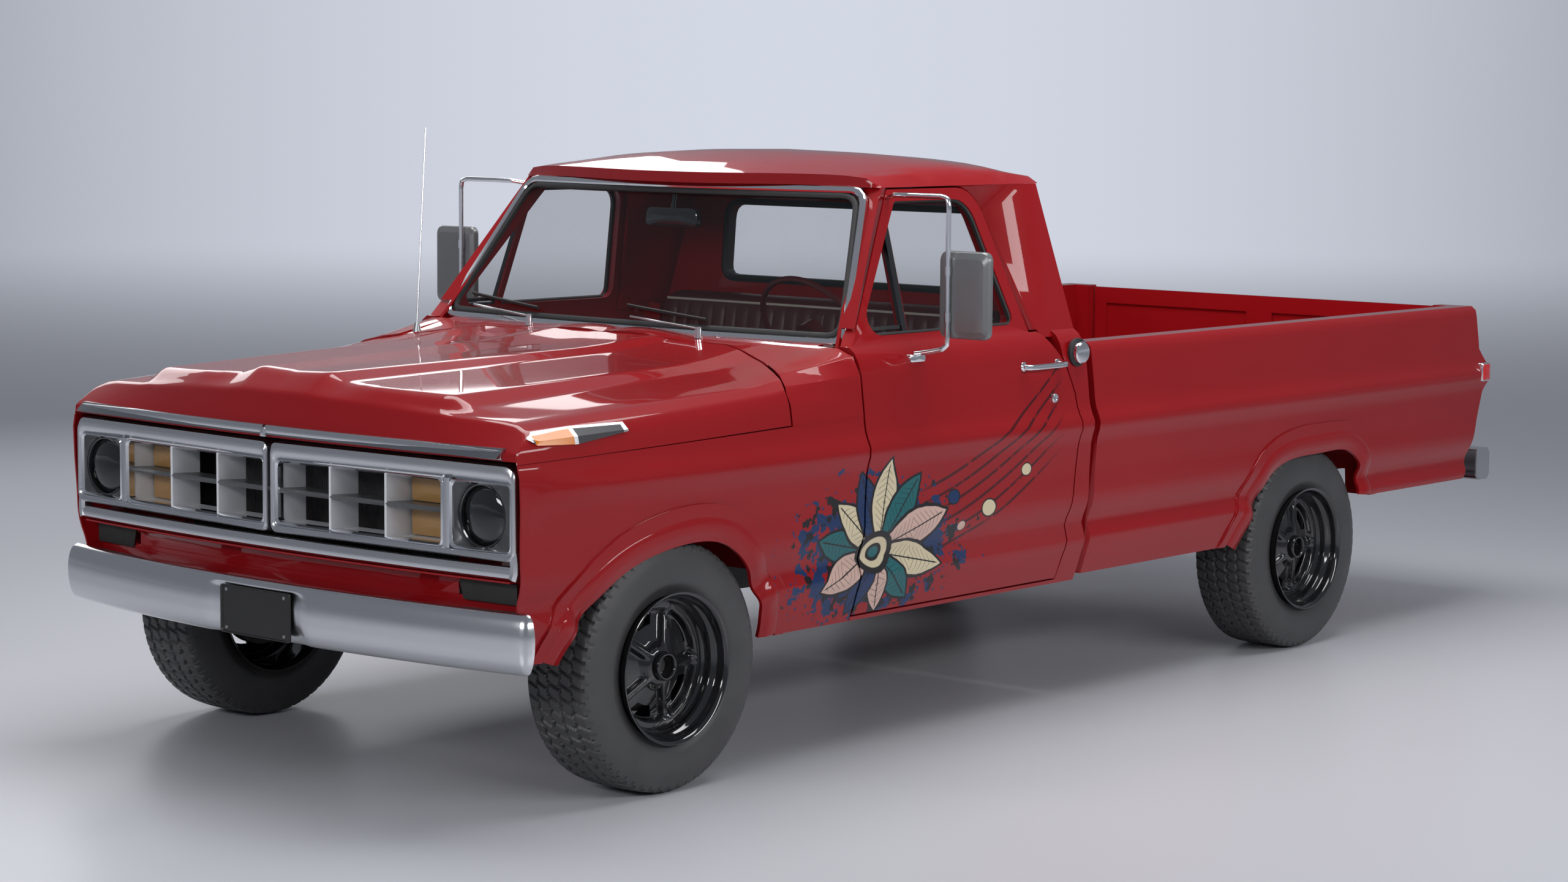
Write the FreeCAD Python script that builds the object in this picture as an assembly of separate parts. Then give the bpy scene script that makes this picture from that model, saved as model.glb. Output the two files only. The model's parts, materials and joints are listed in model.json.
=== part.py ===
"""A full-size two-seat pickup truck of about 1970 with a long load bed, in millimetres.

+X points forward, +Y to the driver's (left) side and +Z up. The origin lies on the
ground under the middle of the truck's length. Each rigid panel or sub-assembly is a
solid of its own and is written to parts/NODE.step.
"""
import FreeCAD
import Part
import math
import os

os.makedirs("parts", exist_ok=True)
V = FreeCAD.Vector

# Driving dimensions
wheelbase = 3327.0
front_overhang = 712.0          # front axle to the bumper's front face
rear_overhang = 1442.0          # rear axle to the rear bumper's back face
tyre_diameter = 722.0
tyre_width = 250.0
tyre_centre_y = 851.0           # half of the track
body_half_width = 1012.0        # at the crease along the side
roof_height = 1782.0
rail_height = 1172.0            # top of the bed's sides
sill_height = 1216.0            # bottom of the side windows
rocker_height = 392.0           # lowest edge of the cab's sides
panel_gap = 8.0                 # shut line between neighbouring panels
sheet = 5.0                     # modelled thickness of a single pressed panel
seat_gap = 0.3                  # between a piece and what it is fastened to

overall_length = wheelbase + front_overhang + rear_overhang
axle_front_x = overall_length / 2 - front_overhang
axle_rear_x = axle_front_x - wheelbase
wheel_radius = tyre_diameter / 2

# Stations along the truck, each measured from the front axle
hood_lip_x = axle_front_x + 665.0
nose_corner_x = axle_front_x + 612.0
fender_front_x = axle_front_x + 590.0
hood_side_rear_x = axle_front_x - 487.0
hood_rear_x = axle_front_x - 742.0
glass_foot_x = axle_front_x - 818.0
door_front_x = axle_front_x - 822.0
cab_rear_x = axle_front_x - 1965.0
bed_front_x = cab_rear_x - 32.0
bed_rear_x = axle_rear_x - 1204.0
bed_tail_bulge = 40.0           # how far the bed's end stands back at the crease

# The side of the body: height above ground and distance from the middle plane
side_profile = [
    (384.0, 929.0), (440.0, 950.0), (500.0, 969.0), (535.0, 979.0), (552.0, 975.0), (572.0, 965.0),
    (640.0, 983.0), (730.0, 991.0), (820.0, 995.0), (856.0, 998.0), (884.0, 1006.0),
    (908.0, 1012.0), (926.0, 1009.0), (950.0, 997.0), (976.0, 989.0), (1040.0, 981.0),
    (1110.0, 972.0), (1150.0, 965.0), (1180.0, 953.0), (1200.0, 940.0), (sill_height, 918.0),
]
side_curve = None               # the profile as a smooth run of points, set below
nose_stations = [axle_front_x + x for x in (-150.0, 60.0, 210.0, 310.0, 390.0, 470.0, 550.0, 600.0)]
crease_z = 908.0
crease_band = 60.0              # half height of the raised band along the side
profile_scale = body_half_width - 1012.0


def box(x0, x1, y0, y1, z0, z1):
    """An axis-aligned block between two corners."""
    return Part.makeBox(x1 - x0, y1 - y0, z1 - z0, V(x0, y0, z0))


def polygon_wire(points):
    """A closed wire of straight edges."""
    return Part.makePolygon([V(*p) for p in points] + [V(*points[0])])


def plate_xz(outline, y0, y1):
    """A plate drawn in side view, from y0 to y1."""
    face = Part.Face(polygon_wire([(x, y0, z) for x, z in outline]))
    return face.extrude(V(0, y1 - y0, 0))


def plate_yz(outline, x0, x1):
    """A bar drawn in front view, from x0 to x1."""
    face = Part.Face(polygon_wire([(x0, y, z) for y, z in outline]))
    return face.extrude(V(x1 - x0, 0, 0))


def plate_xy(outline, z0, z1):
    """A slab drawn in plan, from z0 to z1."""
    face = Part.Face(polygon_wire([(x, y, z0) for x, y in outline]))
    return face.extrude(V(0, 0, z1 - z0))


def rounded_outline(corners, steps=5):
    """Corner points (u, v, radius) turned into an outline with arcs at the corners."""
    points = []
    count = len(corners)
    for i, (u, v, radius) in enumerate(corners):
        before = corners[i - 1]
        after = corners[(i + 1) % count]
        if radius <= 0:
            points.append((u, v))
            continue
        a = V(before[0] - u, before[1] - v, 0).normalize()
        b = V(after[0] - u, after[1] - v, 0).normalize()
        half = a.getAngle(b) / 2
        reach = radius / math.tan(half)
        bisector = (a + b).normalize()
        centre = V(u, v, 0) + bisector * (radius / math.sin(half))
        start = V(u, v, 0) + a * reach - centre
        end = V(u, v, 0) + b * reach - centre
        sweep = start.getAngle(end)
        for k in range(steps + 1):
            t = k / steps
            p = (start * math.sin((1 - t) * sweep) + end * math.sin(t * sweep)) * (1 / math.sin(sweep))
            points.append((centre.x + p.x, centre.y + p.y))
    return points


def sampled(points, count):
    """A smooth curve through the points (u, v), as evenly spaced points along it."""
    curve = Part.BSplineCurve()
    curve.interpolate([V(u, v, 0) for u, v in points])
    return [(p.x, p.y) for p in curve.discretize(Number=count)]


def rod(points, radius, bend=0.0):
    """A round bar or tube along straight runs, its bends rounded to one radius."""
    pts = [V(*p) for p in points]
    edges = []
    start = pts[0]
    for i in range(1, len(pts) - 1):
        a = (pts[i - 1] - pts[i]).normalize()
        b = (pts[i + 1] - pts[i]).normalize()
        half = a.getAngle(b) / 2
        reach = bend / math.tan(half)
        p0 = pts[i] + a * reach
        p1 = pts[i] + b * reach
        middle = pts[i] + (a + b).normalize() * (bend / math.sin(half) - bend)
        edges.append(Part.LineSegment(start, p0).toShape())
        edges.append(Part.Arc(p0, middle, p1).toShape())
        start = p1
    edges.append(Part.LineSegment(start, pts[-1]).toShape())
    path = Part.Wire(edges)
    direction = (edges[0].Vertexes[-1].Point - edges[0].Vertexes[0].Point).normalize()
    circle = Part.Wire(Part.makeCircle(radius, pts[0], direction))
    return path.makePipeShell([circle], True, False)


def turned(profile, centre, axis=V(0, 1, 0)):
    """A body of revolution from (distance along the axis, radius) points, about a Y axis."""
    points = [V(centre.x, centre.y + a, centre.z + r) for a, r in profile]
    face = Part.Face(Part.makePolygon(points + [points[0]]))
    return face.revolve(centre, axis, 360)


def mirrored(shape):
    """The same piece on the other side of the truck."""
    return shape.mirror(V(0, 0, 0), V(0, 1, 0))


def one(shape):
    """A clean copy with coplanar faces joined."""
    return shape.removeSplitter()


def export(name, shape):
    """Writes one node and prints its solids and volume."""
    assert shape.isValid(), name + " is not valid"
    shape.exportStep("parts/" + name + ".step")
    print(name, len(shape.Solids), "solids", round(shape.Volume / 1e6, 2), "litres")


# Body side surface

side_curve = sampled(side_profile, 34)

def bump_share(x):
    """How far the side crease has grown at station x: none at the nose, whole after 260 mm."""
    grown = (fender_front_x - 20.0 - x) / 260.0
    return min(1.0, max(0.0, grown))


def nose_inset(x):
    """How much the body narrows towards the nose."""
    start = axle_front_x - 150.0
    if x <= start:
        return 0.0
    return 32.0 * ((x - start) / (nose_corner_x - start)) ** 2


def side_y(z, y, x):
    """A point of the side profile moved for the station: the crease fades into the flat nose."""
    flat = 997.0
    share = bump_share(x)
    if abs(z - crease_z) < crease_band and y > flat:
        y = flat + (y - flat) * share
    return y + profile_scale - nose_inset(x)


def side_section(x, outset, thickness, inner_y=None, profile=None):
    """A closed section of the side wall at station x, standing outset mm proud of the surface."""
    outer = [V(x, side_y(z, y, x) + outset, z) for z, y in profile or side_curve]
    if inner_y is None:
        inner = [p - V(0, outset + thickness, 0) for p in outer]
    else:
        inner = [V(x, inner_y, outer[0].z), V(x, inner_y, outer[-1].z)]
    return Part.makePolygon(outer + inner[::-1] + [outer[0]])


def side_wall(x0, x1, outset=0.0, thickness=sheet, inner_y=None, profile=None):
    """The side wall between two stations; past the front axle it follows the narrowing nose."""
    if x1 <= axle_front_x:
        face = Part.Face(side_section(x0, outset, thickness, inner_y, profile))
        return face.extrude(V(x1 - x0, 0, 0))
    taper = [x for x in nose_stations if x0 < x < x1]
    wires = [side_section(x, outset, thickness, inner_y, profile) for x in [x0] + taper + [x1]]
    return Part.makeLoft(wires, True, True)


# Wheels

rim_radius = 220.5
rim_lip_y = 138.0               # outer rim lip, from the tyre's middle plane
hub_face_y = 54.0               # plane of the wheel's spoked centre
bead_clearance = 0.3
hub_bore = 24.5                 # hole in the wheel's centre, over the end of the spindle
hub_seat_y = tyre_centre_y + hub_face_y - 14.0
running_gap = 0.4


def tyre(centre):
    """A radial tyre: rounded shoulders, bulged sidewalls and a bore that sits on the rim."""
    half = tyre_width / 2
    crown = wheel_radius
    bore = rim_radius - 14.0 + bead_clearance
    profile = [
        (-half * 0.84, bore), (-half, bore + 52), (-half * 0.96, crown - 32), (-half * 0.76, crown - 4),
        (0, crown), (half * 0.76, crown - 4), (half * 0.96, crown - 32), (half, bore + 52), (half * 0.84, bore),
    ]
    body = turned(profile, centre)
    return body


def rim(centre, side):
    """A deep-dish steel wheel: stepped rim and a five-spoked centre with a hub cap."""
    lip = rim_lip_y
    r = rim_radius
    seat = r - 14.0
    wall = 5.0
    barrel = [
        (lip, r), (lip - 10, seat), (lip - 44, seat), (lip - 62, seat - 24), (lip - 120, seat - 24),
        (lip - 138, seat), (-lip + 10, seat), (-lip, r), (-lip + 4, seat - wall), (lip - 142, seat - wall),
        (lip - 124, seat - 24 - wall), (lip - 58, seat - 24 - wall), (lip - 40, seat - wall), (lip - 4, seat - wall),
    ]
    body = turned([(side * a, b) for a, b in barrel], centre)
    dish = seat - 24 - wall
    disc = turned([(side * a, b) for a, b in [
        (hub_face_y - 14, hub_bore), (hub_face_y + 26, hub_bore), (hub_face_y + 26, 34), (hub_face_y + 14, 44),
        (hub_face_y - 8, dish - 34), (hub_face_y + 2, dish - 14), (hub_face_y + 2, dish + 1),
        (hub_face_y - 12, dish + 1), (hub_face_y - 22, dish - 34), (hub_face_y - 14, 60)]], centre)
    cap = turned([(side * a, b) for a, b in [
        (hub_face_y + 25, 0.01), (hub_face_y + 52, 0.01), (hub_face_y + 52, 26), (hub_face_y + 46, 32),
        (hub_face_y + 25, 34)]], centre)
    wheel = body.fuse([disc, cap])
    spokes = 5
    for k in range(spokes):
        turn = 360.0 / spokes * (k + 0.5)
        half_angle = math.radians(25.0)
        inner, outer = 78.0, dish - 22
        corners = [
            (inner * math.sin(-half_angle * 0.55), inner), (outer * math.sin(-half_angle), outer * math.cos(half_angle)),
            (0.0, outer), (outer * math.sin(half_angle), outer * math.cos(half_angle)),
            (inner * math.sin(half_angle * 0.55), inner),
        ]
        y_from = centre.y + side * (hub_face_y - 40)
        face = Part.Face(polygon_wire([(centre.x + u, y_from, centre.z + v) for u, v in corners]))
        slot = face.extrude(V(0, side * 100.0, 0))
        slot.rotate(centre, V(0, 1, 0), turn)
        wheel = wheel.cut(slot)
    return one(wheel)


def wheel_centre(axle_x, side):
    return V(axle_x, side * tyre_centre_y, wheel_radius)


wheel_names = {
    "front_left": (axle_front_x, 1), "front_right": (axle_front_x, -1),
    "rear_left": (axle_rear_x, 1), "rear_right": (axle_rear_x, -1),
}
for name, (axle_x, side) in wheel_names.items():
    centre = wheel_centre(axle_x, side)
    export("tyre_" + name, tyre(centre))
    export("rim_" + name, rim(centre, side))

# Front axle, steering knuckles and rear axle

frame_outer_y = 432.0
frame_flange = 62.0
frame_web = 8.0
frame_top_z = 560.0
frame_depth = 140.0
kingpin_y = 742.0
kingpin_boss = 26.0
spring_y = 530.0
drum_radius = 140.0


def knuckle(side):
    """Steering knuckle with its brake drum, spindle and steering arm."""
    centre = V(axle_front_x, 0, wheel_radius)
    drum_y0 = kingpin_y + 38.0
    drum_face = hub_seat_y - 36.0
    drum = turned([(side * a, b) for a, b in [
        (drum_y0, 0.01), (drum_face, 0.01), (drum_face, drum_radius - 20), (drum_face - 22, drum_radius),
        (drum_y0 + 12, drum_radius), (drum_y0 + 12, drum_radius - 12), (drum_y0, drum_radius - 12)]], centre)
    hub = turned([(side * a, b) for a, b in [
        (drum_face - 1, 0.01), (hub_seat_y - running_gap, 0.01), (hub_seat_y - running_gap, 56), (drum_face - 1, 62)]],
        centre)
    spindle = turned([(side * a, b) for a, b in [
        (kingpin_y, 0.01), (hub_seat_y + 24, 0.01), (hub_seat_y + 24, hub_bore - running_gap),
        (hub_seat_y - 2, hub_bore - running_gap), (drum_y0, 40), (kingpin_y, 34)]], centre)
    upright = Part.makeCylinder(kingpin_boss, 150.0, V(axle_front_x, side * kingpin_y, wheel_radius - 75.0))
    eye = Part.makeCylinder(17.0, 104.0, V(axle_front_x, side * kingpin_y, wheel_radius - 52.0))
    arm = rod([(axle_front_x, side * kingpin_y, wheel_radius - 60.0),
               (axle_front_x - 130.0, side * (kingpin_y - 18.0), wheel_radius - 66.0)], 13.0)
    return one(upright.fuse([eye, drum, hub, spindle, arm]))


export("knuckle_left", knuckle(1))
export("knuckle_right", knuckle(-1))


def axle_beam(side):
    """One swinging I-beam with its radius arm and coil spring, carried under the opposite rail."""
    pivot_y = -side * 330.0
    top = wheel_radius + 20.0
    web = plate_yz([
        (pivot_y - side * 40, top + 6), (pivot_y + side * 30, top + 34), (side * 420, top - 20), (side * 640, top + 18),
        (side * (kingpin_y - 60), top + 18), (side * (kingpin_y - 60), top - 40), (side * 640, top - 44),
        (side * 420, top - 88), (pivot_y + side * 30, top - 40), (pivot_y - side * 40, top - 14)],
        axle_front_x - 9 + side * 34, axle_front_x + 9 + side * 34)
    flange = plate_yz([
        (pivot_y + side * 30, top + 34), (side * 420, top - 20), (side * 640, top + 18), (side * (kingpin_y - 60), top + 18),
        (side * (kingpin_y - 60), top + 6), (side * 640, top + 6), (side * 420, top - 32), (pivot_y + side * 30, top + 22)],
        axle_front_x - 27 + side * 34, axle_front_x + 27 + side * 34)
    lower = plate_yz([
        (pivot_y + side * 30, top - 40), (side * 420, top - 88), (side * 640, top - 44), (side * (kingpin_y - 60), top - 40),
        (side * (kingpin_y - 60), top - 28), (side * 640, top - 32), (side * 420, top - 76), (pivot_y + side * 30, top - 28)],
        axle_front_x - 27 + side * 34, axle_front_x + 27 + side * 34)
    fork_x = sorted((axle_front_x - side * 20, axle_front_x + side * 61))
    fork_y = sorted((side * (kingpin_y - 70), side * (kingpin_y - kingpin_boss - seat_gap)))
    fork = box(fork_x[0], fork_x[1], fork_y[0], fork_y[1], wheel_radius - 39, wheel_radius + 60)
    arm = rod([(axle_front_x + side * 34, side * 500, wheel_radius - 30),
               (axle_front_x - 760, side * 440, frame_top_z - frame_depth - 19.3)], 19.0)
    seat = Part.makeCylinder(62.0, 14.0, V(axle_front_x + side * 34, side * spring_y, top - 44))
    return web.fuse([flange, lower, fork, arm, seat])


def coil_spring(side):
    """A coil spring between the beam's seat and the frame's tower, as a grooved column."""
    foot = wheel_radius - 11.0
    height = frame_top_z + 50.0 - 0.3 - foot
    coils = 5
    pitch = height / coils
    profile = [(0.01, foot)]
    for k in range(coils):
        z = foot + k * pitch
        profile += [(58.0, z), (58.0, z + pitch * 0.35), (46.0, z + pitch * 0.5), (46.0, z + pitch * 0.85)]
    profile += [(58.0, foot + height), (0.01, foot + height)]
    x, y = axle_front_x + side * 34, side * spring_y
    face = Part.Face(polygon_wire([(x + r, y, z) for r, z in profile]))
    return face.revolve(V(x, y, 0), V(0, 0, 1), 360)


beams = []
for side in (1, -1):
    beam = axle_beam(side)
    spring = coil_spring(side)
    beams.append(one(beam.fuse(spring)))
export("front_axle_beams", Part.makeCompound(beams))


def rear_axle():
    """Live rear axle with its banjo, leaf springs and brake drums' backing plates."""
    z = wheel_radius
    tubes = Part.makeCylinder(40.0, 2 * 700.0, V(axle_rear_x, -700.0, z), V(0, 1, 0))
    banjo = turned([(-170.0, 0.01), (-170.0, 60), (-70.0, 135), (70.0, 135), (170.0, 60), (170.0, 0.01)],
                   V(axle_rear_x, 0, z))
    nose = Part.makeCone(95.0, 48.0, 170.0, V(axle_rear_x + 60, 0, z), V(1, 0, 0))
    plates = []
    springs = []
    for side in (1, -1):
        drum_face = hub_seat_y - 36.0
        drum = turned([(side * a, b) for a, b in [
            (699.0, 0.01), (hub_seat_y - running_gap, 0.01), (hub_seat_y - running_gap, 56), (drum_face, 60),
            (drum_face, drum_radius - 20), (drum_face - 22, drum_radius), (699.0, drum_radius)]],
            V(axle_rear_x, 0, z))
        plates.append(drum)
        leaf_y = side * 520.0
        half_span = 620.0
        leaves = [(half_span, 9.0), (half_span * 0.8, 9.0), (half_span * 0.58, 9.0), (half_span * 0.36, 9.0)]
        level = z + 86.0
        pack = []
        for k, (reach, thick) in enumerate(leaves):
            rise = 70.0 * (reach / half_span) ** 2
            under = level - k * thick
            a0, a1, a2 = V(axle_rear_x - reach, leaf_y - 32, under + rise), V(axle_rear_x, leaf_y - 32, under), V(axle_rear_x + reach, leaf_y - 32, under + rise)
            down = V(0, 0, -thick)
            edges = [Part.Arc(a0, a1, a2).toShape(), Part.LineSegment(a2, a2 + down).toShape(),
                     Part.Arc(a2 + down, a1 + down, a0 + down).toShape(), Part.LineSegment(a0 + down, a0).toShape()]
            pack.append(Part.Face(Part.Wire(edges)).extrude(V(0, 64.0, 0)))
        pad = box(axle_rear_x - 60, axle_rear_x + 60, leaf_y - 30, leaf_y + 30, z + 20, level - 20)
        eye_front = Part.makeCylinder(24.0, 64.0, V(axle_rear_x + half_span, leaf_y - 32, level + 62), V(0, 1, 0))
        eye_rear = Part.makeCylinder(24.0, 64.0, V(axle_rear_x - half_span, leaf_y - 32, level + 62), V(0, 1, 0))
        springs += pack + [pad, eye_front, eye_rear]
    return one(tubes.fuse([banjo, nose] + plates + springs))


axle_shape = rear_axle()
export("rear_axle", axle_shape)

# Frame, engine and driveline

frame_front_x = axle_front_x + 560.0
frame_rear_x = bed_rear_x + 120.0


def rail(side):
    """One C-section frame rail that steps up over the rear axle."""
    top = frame_top_z
    up = 74.0
    line = [
        (frame_front_x, top), (axle_front_x - 1500, top), (axle_front_x - 1700, top - 20), (axle_rear_x + 900, top - 20), (axle_rear_x + 620, top + up),
        (axle_rear_x - 560, top + up), (axle_rear_x - 760, top + up - 10), (frame_rear_x, top + up - 10),
    ]
    low = [(x, z - frame_depth) for x, z in reversed(line)]
    low[0] = (frame_rear_x, low[0][1] + 30)
    low[-1] = (frame_front_x, low[-1][1] + 30)
    y0 = side * (frame_outer_y - frame_flange)
    y1 = side * frame_outer_y
    bar = plate_xz(line + low, min(y0, y1), max(y0, y1))
    inside = [(x, z - frame_web) for x, z in line] + [(x, z + frame_web) for x, z in low]
    inside[0] = (frame_front_x + 10, inside[0][1])
    inside[-1] = (frame_front_x + 10, inside[-1][1])
    n = len(line)
    inside[n - 1] = (frame_rear_x - 10, inside[n - 1][1])
    inside[n] = (frame_rear_x - 10, inside[n][1])
    hollow = plate_xz(inside, side * (frame_outer_y - frame_web), side * (frame_outer_y - frame_flange - 5))
    return bar.cut(hollow)


def frame():
    """Ladder frame: two rails and their cross members, with the towers of the front springs."""
    members = [rail(1), rail(-1)]
    inner = frame_outer_y - frame_web
    crossings = [
        (frame_front_x - 60, frame_top_z - 100, 70), (axle_front_x - 10 - 170, frame_top_z - 150, 90), (axle_front_x - 1250, frame_top_z - 132, 31.7),
        (axle_rear_x + 1150, frame_top_z - 60, 40), (axle_rear_x + 640, frame_top_z + 0, 60), (axle_rear_x - 600, frame_top_z - 10, 70),
        (frame_rear_x + 60, frame_top_z - 20, 60),
    ]
    for x, z, depth in crossings:
        members.append(box(x - 45, x + 45, -inner, inner, z, z + depth))
    for side in (1, -1):
        y0, y1 = sorted((side * (frame_outer_y - 1), side * 595.0))
        tower = box(axle_front_x + side * 34 - 75, axle_front_x + side * 34 + 75, y0, y1, frame_top_z + 50, frame_top_z + 74)
        bracket = box(axle_front_x + side * 34 - 75, axle_front_x + side * 34 + 75, *sorted((side * (frame_outer_y - 1), side * (frame_outer_y + 14))),
                      frame_top_z - 100, frame_top_z + 74)
        hanger_y = sorted((side * (frame_outer_y - 1), side * 487.7))
        front_hanger = box(axle_rear_x + 596, axle_rear_x + 644, hanger_y[0], hanger_y[1], frame_top_z - 40, frame_top_z + 30)
        rear_hanger = box(axle_rear_x - 644, axle_rear_x - 596, hanger_y[0], hanger_y[1], frame_top_z - 30, frame_top_z + 30)
        members += [tower, bracket, front_hanger, rear_hanger]
    return one(members[0].fuse(members[1:]))


export("frame_rails", frame())

engine_rear_x = axle_front_x - 640.0
engine = one(box(engine_rear_x + 40, axle_front_x + 180, -260, 260, 500, 940).fuse([
    box(engine_rear_x - 420, engine_rear_x + 41, -120, 120, 430, 650),
    Part.makeCylinder(60.0, 200.0, V(engine_rear_x - 600, 0, 520), V(1, 0, 0))]))
export("engine_block", engine)

shaft_from = V(engine_rear_x - 602, 0, 520)
shaft_to = V(axle_rear_x + 232, 0, wheel_radius + 8)
span = shaft_to - shaft_from
export("driveshaft", Part.makeCylinder(42.0, span.Length, shaft_from, span).cut(engine).cut(axle_shape))

# Front of the body

nose_sag = 52.0                 # how far the grille's ends stand behind its centre
nose_half_width = 955.0
hood_lip_z = 1010.0
hood_crease_z = 1120.0
crease_sag = 170.0              # the same, at the crease over the hood's front face
crease_lean = 12.0              # how far that crease stands behind the lip in the middle
skin = 6.0
arch_bead = 42.0                # width of the raised lip around a wheel opening
bead_height = 7.0
front_arch = [(-472, 360), (-458, 450), (-400, 588), (-252, 742), (37, 772), (336, 655), (446, 520), (492, 400),
              (500, 360)]
rear_arch = [(500, 360), (470, 430), (415, 540), (330, 680), (150, 758), (-60, 768), (-300, 748), (-404, 660),
             (-424, 500), (-424, 360)]


def nose_x(y, centre_x, sag=nose_sag):
    """Station of the bowed nose at distance y from the middle plane."""
    return centre_x - sag * (y / nose_half_width) ** 2


def bow_wire(centre_x, depth, y0, y1, z, sag):
    """The closed outline at height z of a strip that follows the bow of the nose."""
    front = [V(nose_x(y, centre_x, sag), y, z) for y in (y0, (y0 + y1) / 2, y1)]
    back = [p - V(depth, 0, 0) for p in front]
    return Part.Wire([
        Part.Arc(*front).toShape(), Part.LineSegment(front[2], back[2]).toShape(),
        Part.Arc(back[2], back[1], back[0]).toShape(), Part.LineSegment(back[0], front[0]).toShape(),
    ])


def bowed_bar(centre_x, depth, y0, y1, z0, z1, sag=nose_sag):
    """An upright strip that follows the bow of the nose, depth mm thick from its front face."""
    return Part.Face(bow_wire(centre_x, depth, y0, y1, z0, sag)).extrude(V(0, 0, z1 - z0))


def swept_bar(centre_x, depth, y0, y1, z0, z1):
    """A bowed strip whose face leans back and bows more the higher it gets, as the hood's front does."""
    wires = []
    for z in (z0, z1):
        rise = (z - hood_lip_z) / (hood_crease_z - hood_lip_z)
        sag = nose_sag + (crease_sag - nose_sag) * rise
        wires.append(bow_wire(centre_x - crease_lean * rise, depth, y0, y1, z, sag))
    return Part.makeLoft(wires, True, True)


def arch_cut(points, axle_x, y0, y1, grow=0.0):
    """A prism through the side at a wheel opening, its outline moved out by grow."""
    centre = V(axle_x, y0, 520.0)
    pts = [V(axle_x + x, y0, z) for x, z in sampled(points, 30)]
    pts = [p + (p - centre).normalize() * grow for p in pts]
    return Part.Face(Part.makePolygon(pts + [pts[0]])).extrude(V(0, y1 - y0, 0))


# Hood and cowl: outlines of the upper body, from the shut line over the shoulder to the middle

section_nose = [(985, 985), (976, 1005), (950, 1030), (905, 1055), (850, 1070), (700, 1092), (635, 1099),
                (420, 1110), (230, 1117), (150, 1120), (0, 1120)]
section_front = [(985, 985), (976, 1030), (950, 1066), (905, 1082), (850, 1089), (700, 1112), (635, 1140),
                 (420, 1150), (230, 1158), (150, 1178), (0, 1172)]
section_middle = [(985, 1012), (976, 1070), (960, 1108), (922, 1132), (860, 1143), (700, 1158), (610, 1172),
                  (440, 1180), (290, 1187), (210, 1199), (0, 1196)]
section_rear = [(985, 1012), (975, 1100), (955, 1176), (925, 1204), (866, 1214), (700, 1217), (600, 1220),
                (464, 1222), (300, 1226), (240, 1230), (0, 1232)]
section_stations = [axle_front_x + 626.0, axle_front_x + 518.0, hood_side_rear_x, door_front_x]
hood_plan_rear = [
    (hood_side_rear_x, 1100.0), (hood_side_rear_x, 958.0), (axle_front_x - 610.0, 760.0),
    (hood_rear_x + 24.0, 520.0), (hood_rear_x + 36.0, 260.0), (hood_rear_x + 38.0, 0.0),
]
shut_gap = panel_gap / 2


section_count = 19
upper_drawn = [sampled(points, section_count)
               for points in (section_nose, section_front, section_middle, section_rear)]


def upper_section(x):
    """Half of the upper body's outline at station x, blended between the drawn ones."""
    span = 0
    while span < 2 and x < section_stations[span + 1]:
        span += 1
    front_x, rear_x = section_stations[span:span + 2]
    t = min(max((front_x - x) / (front_x - rear_x), 0.0), 2.0)
    if span == 0:
        t = t * t * (3 - 2 * t)
    points = []
    for (ya, za), (yb, zb) in zip(upper_drawn[span], upper_drawn[span + 1]):
        y = ya + (yb - ya) * t
        squeeze = nose_inset(x) * y / 985.0
        points.append((y + profile_scale - squeeze, za + (zb - za) * t))
    return points


def both_sides(half, x):
    """The half outline at station x, run from the right side over the middle to the left."""
    return [V(x, -y, z) for y, z in half] + [V(x, y, z) for y, z in reversed(half[:-1])]


def section_wire(half, x, thickness):
    """The outline over both sides, closed by its own copy moved inwards by the thickness."""
    pts = both_sides(half, x)
    inner = []
    for i, p in enumerate(pts):
        along = (pts[min(i + 1, len(pts) - 1)] - pts[max(i - 1, 0)]).normalize()
        inner.append(p + V(0, along.z, -along.y) * thickness)
    return Part.makePolygon(pts + inner[::-1] + [pts[0]])


def upper_shell(stations, thickness):
    """The upper body's skin through the given stations, as one solid sheet."""
    return Part.makeLoft([section_wire(upper_section(x), x, thickness) for x in stations], True, True)


def upper_core(stations, drop):
    """The solid space under the upper body's outline, lowered by drop."""
    wires = []
    for x in stations:
        pts = both_sides([(y, z - drop) for y, z in upper_section(x)], x)
        wires.append(Part.makePolygon(pts + [pts[0]]))
    return Part.makeLoft(wires, True, True)


def hood_plan(gap, front_x):
    """The hood's outline seen from above, its rear edge moved by the gap."""
    half = [(x + gap, y) for x, y in hood_plan_rear]
    other = [(x, -y) for x, y in reversed(half[:-1])]
    return [(front_x, 1100.0)] + half + other + [(front_x, -1100.0)]


hood_stations = [axle_front_x + x for x in (
    680.0, 626.0, 600.0, 572.0, 545.0, 518.0, 480.0, 400.0, 300.0, 180.0, 60.0, -150.0)]
hood_stations += [hood_side_rear_x, door_front_x + panel_gap]
hood_face_x = hood_lip_x - 14.0


def hood():
    """Clamshell hood: top skin with its raised spine, side skirts and the bowed front."""
    shell = upper_shell(hood_stations, skin)
    plan = plate_xy(hood_plan(shut_gap, axle_front_x + 900.0), 900.0, 1300.0)
    ahead = swept_bar(hood_face_x + 300.0, 300.0, -1100.0, 1100.0, 980.0, 1300.0)
    top = shell.common(plan).cut(ahead)
    face = swept_bar(hood_face_x, skin, -940.0, 940.0, 990.0, 1200.0)
    face = face.common(upper_core(hood_stations[:9], 1.0))
    return one(top.fuse(face))


export("hood", hood())

# Fenders

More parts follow.
